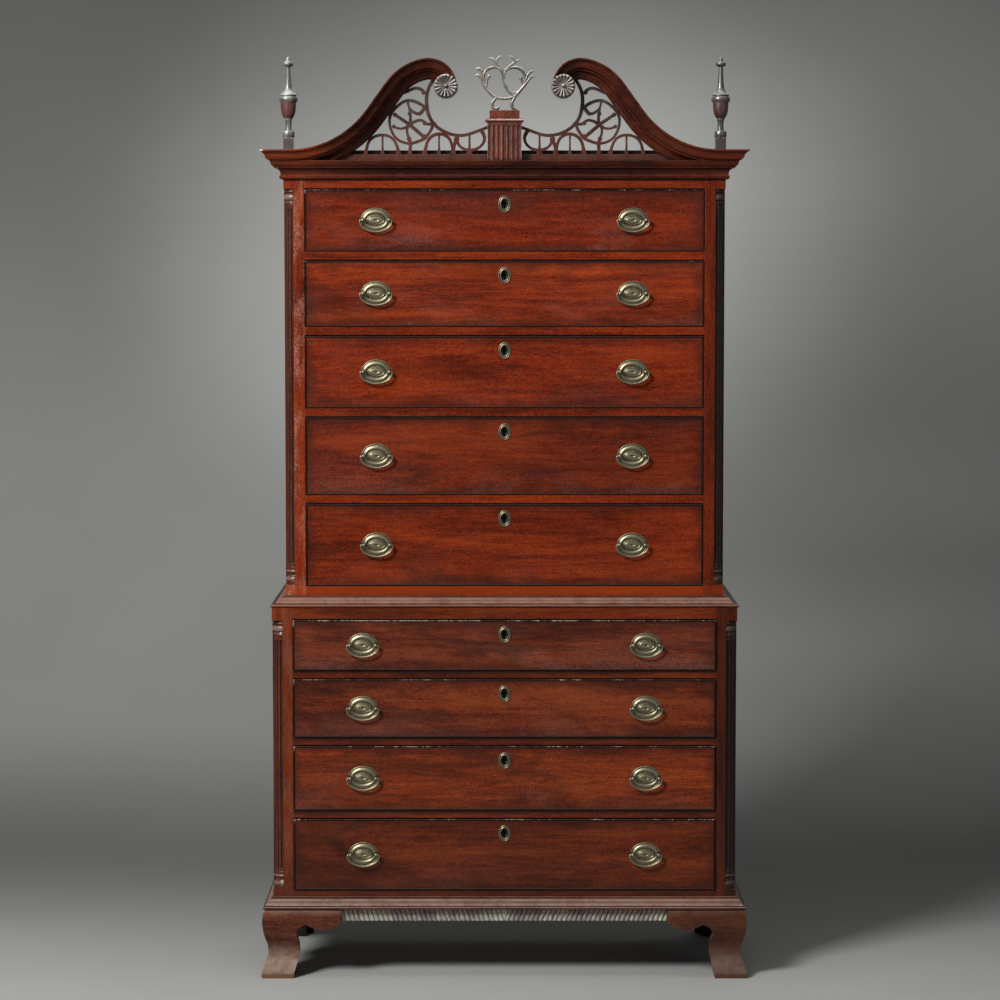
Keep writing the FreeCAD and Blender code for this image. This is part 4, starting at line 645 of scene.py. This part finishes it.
# ============ brass fittings, in millimetres
# Rings of the pull plate from its rim to its middle: half width, half height, reach.
PULL_RINGS = [
    (36.5, 29.5, 0.0), (36.5, 29.5, 1.1), (36.1, 29.1, 1.9), (35.3, 28.3, 2.4), (34.5, 27.5, 2.1),
    (33.9, 26.9, 1.1), (33.4, 26.4, 0.9), (32.4, 25.4, 0.9), (31.4, 24.4, 1.3), (30.2, 22.9, 2.3),
    (28.8, 21.2, 3.1), (27.3, 19.4, 3.5), (25.9, 17.6, 3.2), (24.8, 16.2, 2.3), (24.0, 15.0, 1.2),
    (23.4, 14.1, 0.8), (21.9, 12.2, 0.8), (21.2, 11.5, 1.6), (20.5, 10.9, 2.7), (19.6, 10.1, 3.1),
    (18.8, 9.5, 2.9), (18.1, 9.0, 2.1), (17.2, 8.4, 2.0), (16.2, 7.8, 2.8), (14.8, 6.9, 3.3),
    (13.2, 6.1, 3.2), (11.0, 4.9, 3.4), (8.0, 3.6, 3.6), (5.4, 2.5, 3.5), (3.8, 1.8, 2.2),
    (2.0, 0.9, 1.9)]
ESCUTCHEON_RINGS = [
    (15.0, 20.0, 0.0), (15.0, 20.0, 1.1), (14.6, 19.6, 1.9), (13.7, 18.7, 2.4), (12.8, 17.7, 1.9),
    (12.2, 17.1, 1.1), (11.6, 16.3, 1.2), (10.8, 15.3, 2.3), (9.8, 14.1, 3.1), (8.9, 13.0, 3.0),
    (8.3, 12.2, 2.0), (8.0, 11.8, 0.6)]
POST_TURNING = [
    (0.0, -26.5), (2.2, -26.5), (2.2, 0.5), (3.2, 0.6), (3.4, 1.5), (3.0, 2.3), (2.4, 3.4),
    (2.3, 5.6), (2.9, 6.6), (3.8, 7.9), (4.3, 9.6), (4.4, 11.0), (4.2, 12.6), (3.3, 14.2),
    (2.0, 15.0), (0.0, 15.3)]
NUT_RADIUS, NUT_THICKNESS, SHANK_RADIUS, NUT_EDGE = 6.0, 3.5, 2.2, 0.5
NUT_TURNING = [
    (SHANK_RADIUS, 0.0), (NUT_RADIUS - NUT_EDGE, 0.0), (NUT_RADIUS, NUT_EDGE),
    (NUT_RADIUS, NUT_THICKNESS), (SHANK_RADIUS, NUT_THICKNESS)]
NUT_SIDES, POST_POINTS, PULL_POINTS, ESCUTCHEON_POINTS = 6, 28, 72, 96  # round a full turn
KEYHOLE_RADIUS, KEYHOLE_SLOT, KEYHOLE_DROP, KEYHOLE_LIP = 3.2, 1.3, 10.8, 0.5
LOCK_HALF_WIDTH, LOCK_DEPTH, LOCK_HEIGHT, LOCK_MORTISE, BEAD = 32.0, 12.0, 50.0, 10.0, 3.2


def bridge(bm, rings):
    """Quads between neighbouring rings of vertices."""
    made = []
    for low, high in zip(rings, rings[1:]):
        for i in range(len(low)):
            j = (i + 1) % len(low)
            made.append(bm.faces.new((low[i], low[j], high[j], high[i])))
    return made


def front_ring(bm, centre, out, halves):
    """A ring of vertices that faces the front; halves has each one's half width and height."""
    made = []
    for i, (half_x, half_z) in enumerate(halves):
        angle = 2 * math.pi * i / len(halves)
        made.append(bm.verts.new((centre[0] + half_x * MM * math.cos(angle), centre[1] - out * MM,
                                  centre[2] + half_z * MM * math.sin(angle))))
    return made


def oval_rings(bm, centre, rings, count):
    """Rings of an oval plate or a turning that faces the front: (half width, half height, out)."""
    made = []
    for half_x, half_z, out in rings:
        made.append(front_ring(bm, centre, out, [(half_x, half_z)] * count))
    bridge(bm, made)
    return made


def add_pull_plate(bm, centre):
    """The stamped oval plate behind a bail."""
    rings = oval_rings(bm, centre, PULL_RINGS, PULL_POINTS)
    bm.faces.new(rings[-1])
    bm.faces.new(list(reversed(rings[0])))


def keyhole_reach(angle):
    """Distance from the keyhole's middle to its edge, in a direction from +X towards +Z."""
    down = math.cos(angle + math.pi / 2)
    aside = abs(math.sin(angle + math.pi / 2))
    reach = KEYHOLE_RADIUS
    if down > 0:
        slot = min(KEYHOLE_DROP / down, KEYHOLE_SLOT / max(aside, 1e-6))
        reach = max(reach, slot)
    return reach


def add_escutcheon(bm, centre):
    """The oval keyhole plate, open through its keyhole."""
    rings = oval_rings(bm, centre, ESCUTCHEON_RINGS, ESCUTCHEON_POINTS)
    keyhole = []
    for i in range(ESCUTCHEON_POINTS):
        keyhole.append((keyhole_reach(2 * math.pi * i / ESCUTCHEON_POINTS),) * 2)
    mouth = [front_ring(bm, centre, out, keyhole) for out in (KEYHOLE_LIP, 0.0)]
    bridge(bm, [mouth[1], rings[0]])
    # The inner plate round the keyhole takes the dark material, painted as the shade of an
    # opening.
    for face in bridge(bm, [rings[-1]] + mouth):
        face.material_index = 1


def turned(bm, centre, profile, count):
    """A turning about a line that points to the front; profile is (radius, out)."""
    oval_rings(bm, centre, [(radius, radius, out) for radius, out in profile], count)


def add_object(name, data):
    """An object that is linked to the scene."""
    made = bpy.data.objects.new(name, data)
    bpy.context.scene.collection.objects.link(made)
    return made


def smooth_object(mesh):
    """An object that shows a mesh with smooth shading."""
    for polygon in mesh.polygons:
        polygon.use_smooth = True
    return add_object(mesh.name, mesh)


def mesh_object(name, bm):
    """An object from a bmesh, with faces turned outward."""
    bmesh.ops.remove_doubles(bm, verts=bm.verts, dist=1e-7)
    bmesh.ops.recalc_face_normals(bm, faces=bm.faces)
    mesh = bpy.data.meshes.new(name)
    bm.to_mesh(mesh)
    bm.free()
    return smooth_object(mesh)


def bored_post():
    """One bail post with its cross bore, as a mesh about the origin."""
    bm = bmesh.new()
    turned(bm, (0.0, 0.0, 0.0), POST_TURNING, POST_POINTS)
    post = mesh_object("post_blank", bm)
    bm = bmesh.new()
    place = Matrix.Translation((0, -BAIL_AXIS_OUT, 0)) @ Matrix.Rotation(math.pi / 2, 4, "Y")
    bmesh.ops.create_cone(bm, segments=24, radius1=BAIL_BORE, radius2=BAIL_BORE, depth=0.02,
                          cap_ends=True, matrix=place)
    drill = mesh_object("drill", bm)
    cut = post.modifiers.new("bore", "BOOLEAN")
    cut.operation = "DIFFERENCE"
    cut.solver = "EXACT"
    cut.object = drill
    graph = bpy.context.evaluated_depsgraph_get()
    mesh = bpy.data.meshes.new_from_object(post.evaluated_get(graph))
    bpy.data.objects.remove(post)
    bpy.data.objects.remove(drill)
    return mesh


def add_block(bm, low, high, bevel):
    """A box between two corners with softened edges."""
    made = bmesh.ops.create_cube(bm, size=1.0)
    for vert in made["verts"]:
        vert.co = [(a + b) / 2 + c * (b - a) for a, b, c in zip(low, high, vert.co)]
    edges = list({edge for vert in made["verts"] for edge in vert.link_edges})
    bmesh.ops.bevel(bm, geom=edges, offset=bevel, segments=2, affect="EDGES", profile=0.5)


def drawer_fittings(number, post_mesh, brass, iron_and_shade):
    """Plates, posts, nuts, escutcheon and lock of one drawer, in place of the plain ones."""
    name = "drawer_%d" % number
    upper = number <= UPPER_DRAWERS
    pull_x = UPPER_PULL_X if upper else LOWER_PULL_X
    front = UPPER_FRONT_Y - UPPER_PROUD if upper else LOWER_FRONT_Y - LOWER_PROUD
    foot, top = front_levels(number)
    middle = (foot - OPENING_UNDER_FRONT + top + OPENING_OVER_FRONT) / 2
    keyhole = top + OPENING_OVER_FRONT - ESCUTCHEON_DROP
    joint = front + FRONT_THICKNESS
    bm = bmesh.new()
    for side in (-1, 1):
        add_pull_plate(bm, (side * pull_x, front, middle))
        for end in (-1, 1):
            x = side * pull_x + end * POST_HALF_SPACING
            start = len(bm.verts)
            bm.from_mesh(post_mesh)
            bm.verts.ensure_lookup_table()
            for vert in bm.verts[start:]:
                vert.co += Vector((x, front, middle))
            turned(bm, (x, joint + NUT_THICKNESS * MM, middle), NUT_TURNING, NUT_SIDES)
    add_escutcheon(bm, (0.0, front, keyhole))
    lock_top = top - BEAD * MM
    add_block(bm, (-LOCK_HALF_WIDTH * MM, joint - LOCK_MORTISE * MM, lock_top - LOCK_HEIGHT * MM),
              (LOCK_HALF_WIDTH * MM, joint + (LOCK_DEPTH - LOCK_MORTISE) * MM, lock_top), 0.0006)
    made = mesh_object(name + "_fittings", bm)
    made.data.materials.append(brass)
    made.data.materials.append(iron_and_shade)
    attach(made, name)
    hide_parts(name + "_brasses")


def front_levels(number):
    """Lowest and highest level of a drawer's front."""
    low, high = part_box("drawer_%d" % number)
    return low[2] - FOOT_GAP + OPENING_UNDER_FRONT, high[2]


# ============ centre finial
# Leafy scrolls, as (x, z, width) in millimetres above the top of the plinth's block.
FINIAL_STROKES = [
    [(-71.5, 79.8, 1.6), (-63.0, 83.0, 5.5), (-54.4, 73.5, 5.5), (-49.6, 59.5, 5.5),
     (-39.0, 45.4, 6), (-22.5, 31.8, 6), (-1.3, 27.5, 5.5), (17.6, 30.2, 6), (29.4, 38.4, 7),
     (41.2, 52.4, 7), (53.0, 66.5, 6), (62.5, 78.0, 5.5), (74.3, 79.6, 1.6)],
    [(-70.6, 95.5, 1.8), (-61.0, 98.0, 6.5), (-52.5, 88.7, 5.5), (-49.5, 76.0, 5),
     (-48.0, 62.0, 4)],
    [(69.3, 93.6, 1.6), (59.0, 88.2, 6.5), (52.3, 78.2, 5.5), (48.5, 65.0, 5)],
    [(-46.0, 58.0, 4), (-48.5, 75.9, 4.5), (-46.8, 89.9, 6.5), (-36.7, 98.3, 7.5),
     (-22.5, 101.4, 5.5), (-10.7, 96.5, 6), (-5.8, 85.2, 4.5), (-5.0, 73.5, 4), (1.1, 56.5, 4.5),
     (11.0, 42.5, 5), (26.0, 35.0, 5)],
    [(-0.6, 74.0, 4), (-0.1, 87.6, 4.5), (8.2, 96.9, 5), (22.3, 101.2, 6.5), (36.5, 97.5, 7),
     (46.0, 87.0, 5.5), (48.5, 73.5, 4.5), (43.0, 57.5, 4), (31.0, 44.6, 4), (21.5, 41.5, 3.6),
     (10.8, 47.2, 3.6), (4.0, 57.0, 3.6), (-1.6, 66.0, 3.6)],
    [(-3.0, 93.0, 6), (-13.1, 105.1, 6), (-22.5, 115.7, 5.5), (-29.6, 121.3, 4),
     (-37.0, 122.6, 1.5)],
    [(-16.0, 107.0, 4), (-17.8, 118.0, 4.5), (-13.1, 125.3, 3.5), (-5.8, 128.0, 1.5)],
    [(0.0, 93.0, 6), (10.5, 102.8, 5), (20.7, 111.0, 5), (22.8, 118.0, 4.5), (17.6, 125.0, 3.5),
     (9.4, 127.4, 1.5)],
    [(19.0, 106.5, 4), (28.2, 115.7, 4), (40.4, 119.4, 1.5)],
    [(-43.5, 56.0, 5.5), (-41.2, 68.8, 4.5), (-38.0, 78.7, 5)],
    [(45.5, 57.0, 5), (41.6, 66.5, 4.5), (39.0, 74.7, 5)],
    [(-19.0, 30.5, 7), (-28.2, 19.6, 7.5), (-28.4, 9.6, 7), (-22.5, 3.6, 7), (-15.6, 5.6, 6)],
    [(29.0, 37.5, 6), (19.0, 22.0, 6.5), (17.6, 10.2, 7), (23.0, 3.6, 7), (31.0, 1.6, 3)]]
FINIAL_FATNESS = 1.18  # carved bars against the sawn ones they replace
BAR_POINTS, BAR_STEPS = 14, 6  # round a bar, and from one of its points to the next
BAR_LOBES, BAR_LOBE_DEPTH, BAR_RIDGE = 4, 0.08, 0.10
FINIAL_CURLS = [(-37.6, 79.5), (38.8, 75.5), (-16.0, 5.6)]
CURL_FATNESS, CURL_SHAPE = 1.08, (1.0, 1.25, 1.0, 1.0)


def smooth_through(points, steps):
    """Points of a smooth line through the given ones, each a tuple of numbers."""
    result = []
    last = len(points) - 1
    for i in range(last):
        before, here = points[max(i - 1, 0)], points[i]
        there, after = points[i + 1], points[min(i + 2, last)]
        for k in range(steps):
            t = k / steps
            result.append(tuple(
                0.5 * (2 * b + (c - a) * t + (2 * a - 5 * b + 4 * c - d) * t * t
                       + (3 * b - a - 3 * c + d) * t ** 3)
                for a, b, c, d in zip(before, here, there, after)))
    result.append(points[last])
    return result


def add_leafy_bar(bm, points):
    """A carved bar with a rounded, ridged section that thins with its width."""
    line = smooth_through(points, BAR_STEPS)
    rings = []
    for i, (x, z, width) in enumerate(line):
        ahead = line[min(i + 1, len(line) - 1)]
        behind = line[max(i - 1, 0)]
        along = Vector((ahead[0] - behind[0], 0.0, ahead[1] - behind[1])).normalized()
        aside = Vector((-along.z, 0.0, along.x))
        width = width * FINIAL_FATNESS
        depth = min(FINIAL_DEPTH / MM / 2, 1.6 + width * 0.62)
        ring = []
        for k in range(BAR_POINTS):
            angle = 2 * math.pi * k / BAR_POINTS
            lobe = 1.0 - BAR_LOBE_DEPTH * math.cos(BAR_LOBES * angle)
            offset = aside * (math.cos(angle) * width / 2 * lobe)
            depth_at = math.sin(angle) * depth * (1.0 - BAR_RIDGE * abs(math.cos(angle)))
            ring.append(bm.verts.new(((x + offset.x) * MM, FINIAL_MIDDLE_Y + depth_at * MM,
                                      FINIAL_SEAT + (z + offset.z) * MM)))
        rings.append(ring)
    bridge(bm, rings)
    bm.faces.new(rings[0])
    bm.faces.new(list(reversed(rings[-1])))


def carved_finial(material):
    """The centre finial with rounded, tapering scrolls in place of the sawn ones."""
    bm = bmesh.new()
    for points in FINIAL_STROKES:
        add_leafy_bar(bm, points)
    for x, z in FINIAL_CURLS:
        place = Matrix.Translation((x * MM, FINIAL_MIDDLE_Y, FINIAL_SEAT + z * MM))
        bmesh.ops.create_uvsphere(bm, u_segments=18, v_segments=12,
                                  radius=FINIAL_CURL * CURL_FATNESS,
                                  matrix=place @ Matrix.Diagonal(CURL_SHAPE))
    made = mesh_object("finial_carving", bm)
    made.data.materials.append(material)
    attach(made, "upper_chest")
    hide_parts("centre_finial")


# ============ dressing the nodes
# Middle colour, dark clouds, bloom, and chipped edge with painted highlight of each drawer front,
# from the top down.
DRAWER_LOOKS = [
    ((0.138, 0.0135, 0.0028), 0.50, 0.62, 0.60), ((0.195, 0.0225, 0.0050), 0.40, 0.40, 0.30),
    ((0.158, 0.0160, 0.0032), 0.45, 0.20, 0.12), ((0.124, 0.0140, 0.0036), 0.60, 0.30, 0.12),
    ((0.155, 0.0165, 0.0030), 0.50, 0.15, 0.12), ((0.125, 0.0225, 0.0088), 0.70, 0.50, 0.85),
    ((0.124, 0.0195, 0.0062), 0.80, 0.35, 0.65), ((0.172, 0.0255, 0.0062), 0.75, 0.25, 0.65),
    ((0.100, 0.0150, 0.0040), 0.60, 0.15, 0.60)]


def dress(node, material):
    """Puts one material on every slot of a CAD node."""
    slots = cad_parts[node].data.materials
    if not slots:
        slots.append(material)
    for index in range(len(slots)):
        slots[index] = material


def opening_shade(numbers, reach):
    """Painted shade lines along the tops of some drawers' openings, for the dark gap over each
    front.
    """
    return [(front_levels(number)[1] + OPENING_OVER_FRONT, 0.0020, 0.92, reach)
            for number in numbers]


def dress_cases():
    """Finishes the two cases and their face frames."""
    dress("lower_carcass", cherry("cherry_lower_case", 3, "upright", shade(CHERRY, 0.8)))
    dress("upper_carcass", cherry("cherry_upper_case", 5, "upright", shade(CHERRY, 0.9)))
    upper, lower = range(1, UPPER_DRAWERS + 1), range(UPPER_DRAWERS + 1, DRAWERS + 1)
    shadows = []
    # Painted shadows under the proud lower fronts; under the lowest it is deeper, with grime too.
    for number in lower:
        shape = (0.036, 0.35) if number == DRAWERS else (0.012, 0.80)
        shadows.append((front_levels(number)[0] - OPENING_UNDER_FRONT, *shape))
    quirks = whole((WAIST_FOOT, 0.0022, 0.85), (BASE_TOP, 0.0018, 0.8))
    # tones: post half width, mottle on the left post, painted shade on the right post, painted
    # shadows under the lower fronts.
    dress("lower_face_frame", cherry(
        "cherry_lower_frame", 7, LOWER_OPENING, (0.114, 0.0165, 0.0038), 0.60, worn=0.2,
        tones=(LOWER_OPENING, 0.25, 0.48, shadows),
        quirks=quirks + opening_shade(lower, LOWER_OPENING)))
    quirks = whole((WAIST_TOP, 0.0020, 0.8), (BED_FOOT, 0.0030, 0.8))
    foot_rail = (WAIST_TOP, front_levels(UPPER_DRAWERS)[0], 0.004, 0.55, (0.290, 0.0370, 0.0040))
    dress("upper_face_frame", cherry(
        "cherry_upper_frame", 9, UPPER_OPENING, CHERRY_ORANGE, 0.30, worn=0.2,
        tones=(UPPER_OPENING, 0.75, 0.30, []), bands=[foot_rail],
        quirks=quirks + opening_shade(upper, UPPER_OPENING)))


def dress_columns():
    """Finishes the quarter columns, with painted highlights on their rings and painted shade on
    the right-hand ones.
    """
    bands, soft_rings = [], []
    for foot, top in COLUMN_LEVELS:
        middle = top - COLUMN_TORUS_DROP
        # Painted highlights on the capital's big ring and on two rings at the foot.
        bands.append((middle - 0.0050, middle + 0.0050, 0.0030, 0.50, PAINTED_RING_HIGHLIGHT))
        bands.append((foot + 0.010, foot + 0.017, 0.0020, 0.4, PAINTED_RING_HIGHLIGHT))
        bands.append((foot + 0.030, foot + 0.034, 0.0016, 0.4, PAINTED_RING_HIGHLIGHT))
        soft_rings.append((middle - 0.008, middle + 0.008))
    columns = carved_wood("cherry_columns", 13, (0.066, 0.0110, 0.0042), 0.24, 0.24, bands=bands,
                          right=0.45, soft_rings=soft_rings, shine=0.36)
    dress("lower_quarter_columns", columns)
    dress("upper_quarter_columns", columns)


def dress_mouldings():
    """Finishes the level mouldings, the feet and the apron."""
    dress("cornice", cherry(
        "cherry_cornice", 17, mid=(0.052, 0.0078, 0.0026), cloud=0.8, dust=0.35, worn=0.5,
        dust_and_sheen_colour=(0.16, 0.065, 0.04), broken=CROWN_CORNER,
        warm_lit_ends=(0.30, 0.56, 0.5, (0.20, 0.030, 0.007)), hollows=0.020))
    quirks = whole((WAIST_FOOT + 0.0076, 0.0015, 0.95), (WAIST_FOOT, 0.0014, 0.9),
                   (WAIST_TOP - 0.003, 0.0016, 0.5))
    dress("waist_moulding", cherry(
        "cherry_waist", 19, mid=(0.120, 0.0220, 0.0090), cloud=0.5, dust=1.0, worn=0.6,
        dust_and_sheen_colour=(0.215, 0.118, 0.086), quirks=quirks))
    quirks = whole((BASE_FOOT + 0.0072, 0.0015, 0.95), (BASE_FOOT, 0.0014, 0.9),
                   (BASE_TOP - 0.005, 0.0016, 0.4))
    dress("base_moulding", cherry(
        "cherry_base", 23, mid=(0.095, 0.0230, 0.0110), cloud=0.5, dust=1.0, worn=0.6,
        dust_and_sheen_colour=(0.225, 0.152, 0.122), quirks=quirks))
    dress("bracket_feet", cherry(
        "cherry_feet", 27, mid=(0.102, 0.0255, 0.0115), cloud=0.6, dust=0.85, worn=0.5,
        dust_and_sheen_colour=(0.245, 0.165, 0.125),
        foot_scuff_and_shade=(0.095, 0.90, GLUE_BLOCK_X, FOOT_BOARD_BACK, UNDERSIDE_DEPTH)))
    # Pale grey: dust, with the colour raised as painted light against the shadow the base moulding
    # casts on the apron.
    dress("gadrooned_apron", carved_wood(
        "cherry_gadroon", 29, (0.290, 0.238, 0.208), 0.6, 0.40, tip=(0.50, 0.455, 0.42),
        hollow=0.50, spare=(0.60, 0.15), cloud=0.15))


def dress_insides():
    """Finishes the dust board, the runners and the backboards."""
    # Nearly black: dirt, and painted shade on the board behind the fretwork.
    dress("upper_dust_board", cherry("cherry_dust_board", 31, mid=(0.014, 0.0050, 0.0030),
                                     cloud=0.4, dust=0.1))
    plain = poplar("poplar", 33)
    dress("lower_runners", plain)
    dress("upper_runners", plain)
    for node, count in (("lower_backboards", 3), ("upper_backboards", 4)):
        low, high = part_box(node)
        dress(node, poplar("poplar_" + node, 33 + count, (low[2], (high[2] - low[2]) / count)))


def dress_pediment():
    """Finishes the raking mouldings and the carving."""
    raking = cherry("cherry_raking", 37, mid=(0.056, 0.0088, 0.0032), cloud=0.8, dust=0.30,
                    worn=0.9, gloss=0.24, dust_and_sheen_colour=(0.20, 0.09, 0.06), broken=CROWN_CORNER,
                    warm_lit_ends=(0.32, 0.54, 0.95, (0.26, 0.042, 0.008)), hollows=0.030)
    dress("swan_neck_left", raking)
    dress("swan_neck_right", raking)
    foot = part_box("fretwork_left")[0][2]
    red_foot = (foot - 0.05, foot + 0.030 + FRET_FADE, 0.030, 0.42, (0.125, 0.020, 0.006))
    fret = carved_wood("cherry_fret", 41, (0.042, 0.0185, 0.0125), 0.60, 0.30,
                       (0.30, 0.24, 0.205), bands=[red_foot])
    dress("fretwork_left", fret)
    dress("fretwork_right", fret)
    dress("centre_plinth", carved_wood("cherry_plinth", 43, (0.165, 0.0330, 0.0150), 0.95, 0.26,
                                       (0.60, 0.40, 0.32)))
    silvery = carved_wood("cherry_silvery", 47, (0.110, 0.080, 0.066), 1.0, 0.26,
                          (0.72, 0.67, 0.61), shine=0.8)
    dress("rosettes", silvery)
    carved_finial(silvery)
    block_foot, block_top, *bowl = URN_LEVELS
    bands = [(block_foot, block_top, 0.004, 0.92, (0.060, 0.042, 0.036)),
             (*bowl, 0.003, 0.95, (0.082, 0.016, 0.011))]
    # right=0.55 puts painted shade on the right-hand urn.
    dress("urn_finials", carved_wood(
        "cherry_urns", 49, (0.085, 0.070, 0.062), 0.75, 0.30, (0.72, 0.68, 0.63), bands=bands,
        right=0.55, soft_rings=[bowl], shine=1.0))


def dress_drawers():
    """Finishes the nine fronts and their brasses."""
    brass, iron_and_shade = aged_brass("brass", 53), iron_and_keyhole_shade("keyhole_iron_and_shade")
    post_mesh = bored_post()
    for number in range(1, DRAWERS + 1):
        name = "drawer_%d" % number
        low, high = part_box(name)
        foot, top = front_levels(number)
        mid, cloud, haze, chips_and_highlight = DRAWER_LOOKS[number - 1]
        edges = (low[0], high[0], foot, top, low[1])
        dress(name, cherry("cherry_" + name, 59 + number * 2, mid=mid, cloud=cloud,
                           front=(edges, haze, chips_and_highlight)))
        dress(name + "_bail_left", brass)
        dress(name + "_bail_right", brass)
        drawer_fittings(number, post_mesh, brass, iron_and_shade)


# ============ stage, light and camera
SWEEP_NEAR, WALL_Y, SWEEP_HEIGHT, SWEEP_HALF_WIDTH = -9.0, 3.2, 7.0, 9.0
CURVE_RADIUS, CURVE_STEPS = 1.8, 12
PAINTED_FLOOR_FALLOFF, WALL_START = (-0.5, 1.2, 0.315, 0.118), (1.3, 1.9)  # along Y; the floor's brightness is a painted light falloff from near to far
NEAR_FADE, SIDE_FADE = (-1.5, -3.4), (3.2, 5.5)  # where the sweep turns clear
GLOW_HEIGHT, GLOW_UP, GLOW_DOWN, GLOW_ASIDE = 1.94, 1.02, 1.40, 1.58  # painted pool of light on the wall
ROOM_COLOUR, ROOM_STRENGTH, ROOM_SEEN = (0.5, 0.51, 0.52), 0.12, (0.20, 0.20, 0.196)
# Lamps: name, place, aim, size and power; the key is on the left, the fill on the right.
LAMPS = [
    ("key", (-3.2, -4.0, 4.4), (0.0, -0.2, 1.2), (1.6, 1.6), 470.0),
    ("fill", (3.6, -4.5, 2.0), (0.0, 0.0, 1.1), (2.4, 2.4), 12.0),
    ("top", (0.0, -0.8, 4.8), (0.0, 0.2, 0.0), (2.6, 1.6), 45.0),
    ("back", (0.6, 2.7, 3.4), (0.0, 0.2, 1.0), (2.4, 1.2), 12.0)]


def sweep():
    """A sheet that runs from the floor through a curve up the wall."""
    curve_foot = WALL_Y - CURVE_RADIUS
    section = [(SWEEP_NEAR, 0.0), (curve_foot, 0.0)]
    for step in range(1, CURVE_STEPS + 1):
        angle = math.pi / 2 * step / CURVE_STEPS
        section.append((curve_foot + CURVE_RADIUS * math.sin(angle),
                        CURVE_RADIUS - CURVE_RADIUS * math.cos(angle)))
    section.append((WALL_Y, SWEEP_HEIGHT))
    mesh = bpy.data.meshes.new("backdrop")
    points = [(x, y, z) for y, z in section for x in (-SWEEP_HALF_WIDTH, SWEEP_HALF_WIDTH)]
    faces = [(2 * i, 2 * i + 1, 2 * i + 3, 2 * i + 2) for i in range(len(section) - 1)]
    mesh.from_pydata(points, [], faces)
    return smooth_object(mesh)


def painted_wall_light(graph, parts):
    """The wall's brightness, painted light throughout: a pool of light behind the pediment, shade
    higher up, in the corners and at the foot, and light and shade towards the right.
    """
    # Painted shade: darker upwards and at the foot of the wall.
    wall = graph.span(parts[2], 0.9, 2.9, 0.243, 0.105)
    wall = graph.product(wall, graph.span(parts[2], -0.02, 0.25, 0.56, 0.95))
    # Painted pool of light behind the pediment.
    over = graph.minus(parts[2], GLOW_HEIGHT)
    rise = graph.most(graph.product(over, 1.0 / GLOW_UP), graph.product(over, -1.0 / GLOW_DOWN))
    place = graph.vector(graph.product(parts[0], 1.0 / GLOW_ASIDE), rise)
    away = graph.node("VectorMath", {0: place}, operation="LENGTH")
    wall = graph.product(wall, graph.span(away.outputs["Value"], 1.0, 0.0, 1.0, 3.15))
    # Painted light and shade towards the right.
    high_right = graph.span(parts[2], 1.1, 2.4, 0.62, 1.52)
    low_right = graph.span(parts[2], 0.75, 0.28, 0.0, 0.68)
    right = graph.add(high_right, low_right)
    towards = graph.span(parts[0], -0.4, 1.5)
    return graph.product(wall, graph.add(1.0, graph.product(towards, graph.minus(right, 1.0))))


def backdrop():
    """A grey paper sweep with painted light and shade, clear from behind and at its near and side
    edges.
    """
    sheet = sweep()
    graph = Graph("backdrop_paper")
    parts = graph.parts(graph.place())
    # Painted light falloff: the floor darkens from near to far.
    floor = graph.span(parts[1], *PAINTED_FLOOR_FALLOFF)
    is_wall = graph.span(parts[1], *WALL_START)
    tone = graph.add(graph.product(floor, graph.minus(1.0, is_wall)),
                     graph.product(painted_wall_light(graph, parts), is_wall))
    paper = graph.noise(graph.place(), 0.8, 3.0)
    tone = graph.product(tone, graph.span(paper, 0.3, 0.7, 0.95, 1.05))
    colour = graph.node("CombineColor", {0: tone, 1: tone, 2: graph.product(tone, 0.96)})
    graph.set("Base Color", colour.outputs[0])
    graph.set("Roughness", 0.9)
    near_edge = graph.span(parts[1], *NEAR_FADE)
    side_edge = graph.span(graph.size(parts[0]), *SIDE_FADE)
    gone = graph.most(graph.node("NewGeometry").outputs["Backfacing"],
                      graph.most(near_edge, side_edge))
    clear = graph.node("BsdfTransparent").outputs[0]
    graph.show(graph.node("MixShader", {0: gone, 1: graph.shader.outputs[0], 2: clear}))
    sheet.data.materials.append(graph.owner)


def area_light(name, place, target, size, power):
    """A soft box aimed at a point."""
    light = bpy.data.lights.new(name, "AREA")
    light.shape = "RECTANGLE"
    light.size, light.size_y = size
    light.energy = power
    lamp = add_object(name, light)
    lamp.location = place
    direction = Vector(target) - Vector(place)
    lamp.rotation_euler = direction.to_track_quat("-Z", "Y").to_euler()


def room():
    """A dim grey world, paler where the camera, metal or glass looks at it."""
    graph = Graph("room", "worlds", "Background")
    seen = graph.node("LightPath").outputs
    pale_for = graph.most(graph.most(seen["Is Camera Ray"], seen["Is Glossy Ray"]),
                          seen["Is Transmission Ray"])
    graph.set("Color", ROOM_COLOUR)
    graph.set("Strength", ROOM_STRENGTH)
    pale = graph.node("Background", {"Color": ROOM_SEEN}).outputs[0]
    graph.show(graph.node("MixShader", {0: pale_for, 1: graph.shader.outputs[0], 2: pale}))
    bpy.context.scene.world = graph.owner


def camera():
    """The photograph's viewpoint."""
    data = bpy.data.cameras.new("camera")
    data.lens = CAMERA_LENS
    data.sensor_width = 36.0
    data.sensor_fit = "HORIZONTAL"
    eye = add_object("camera", data)
    eye.location = (CAMERA_X, LOWER_FRONT_Y - CAMERA_DISTANCE, CAMERA_HEIGHT)
    eye.rotation_euler = Euler((math.pi / 2 - CAMERA_PITCH, 0.0, 0.0))
    bpy.context.scene.camera = eye


dress_cases()
dress_columns()
dress_mouldings()
dress_insides()
dress_pediment()
dress_drawers()
backdrop()
for lamp in LAMPS:
    area_light(*lamp)
room()
camera()
bpy.context.scene.view_settings.view_transform = "Standard"
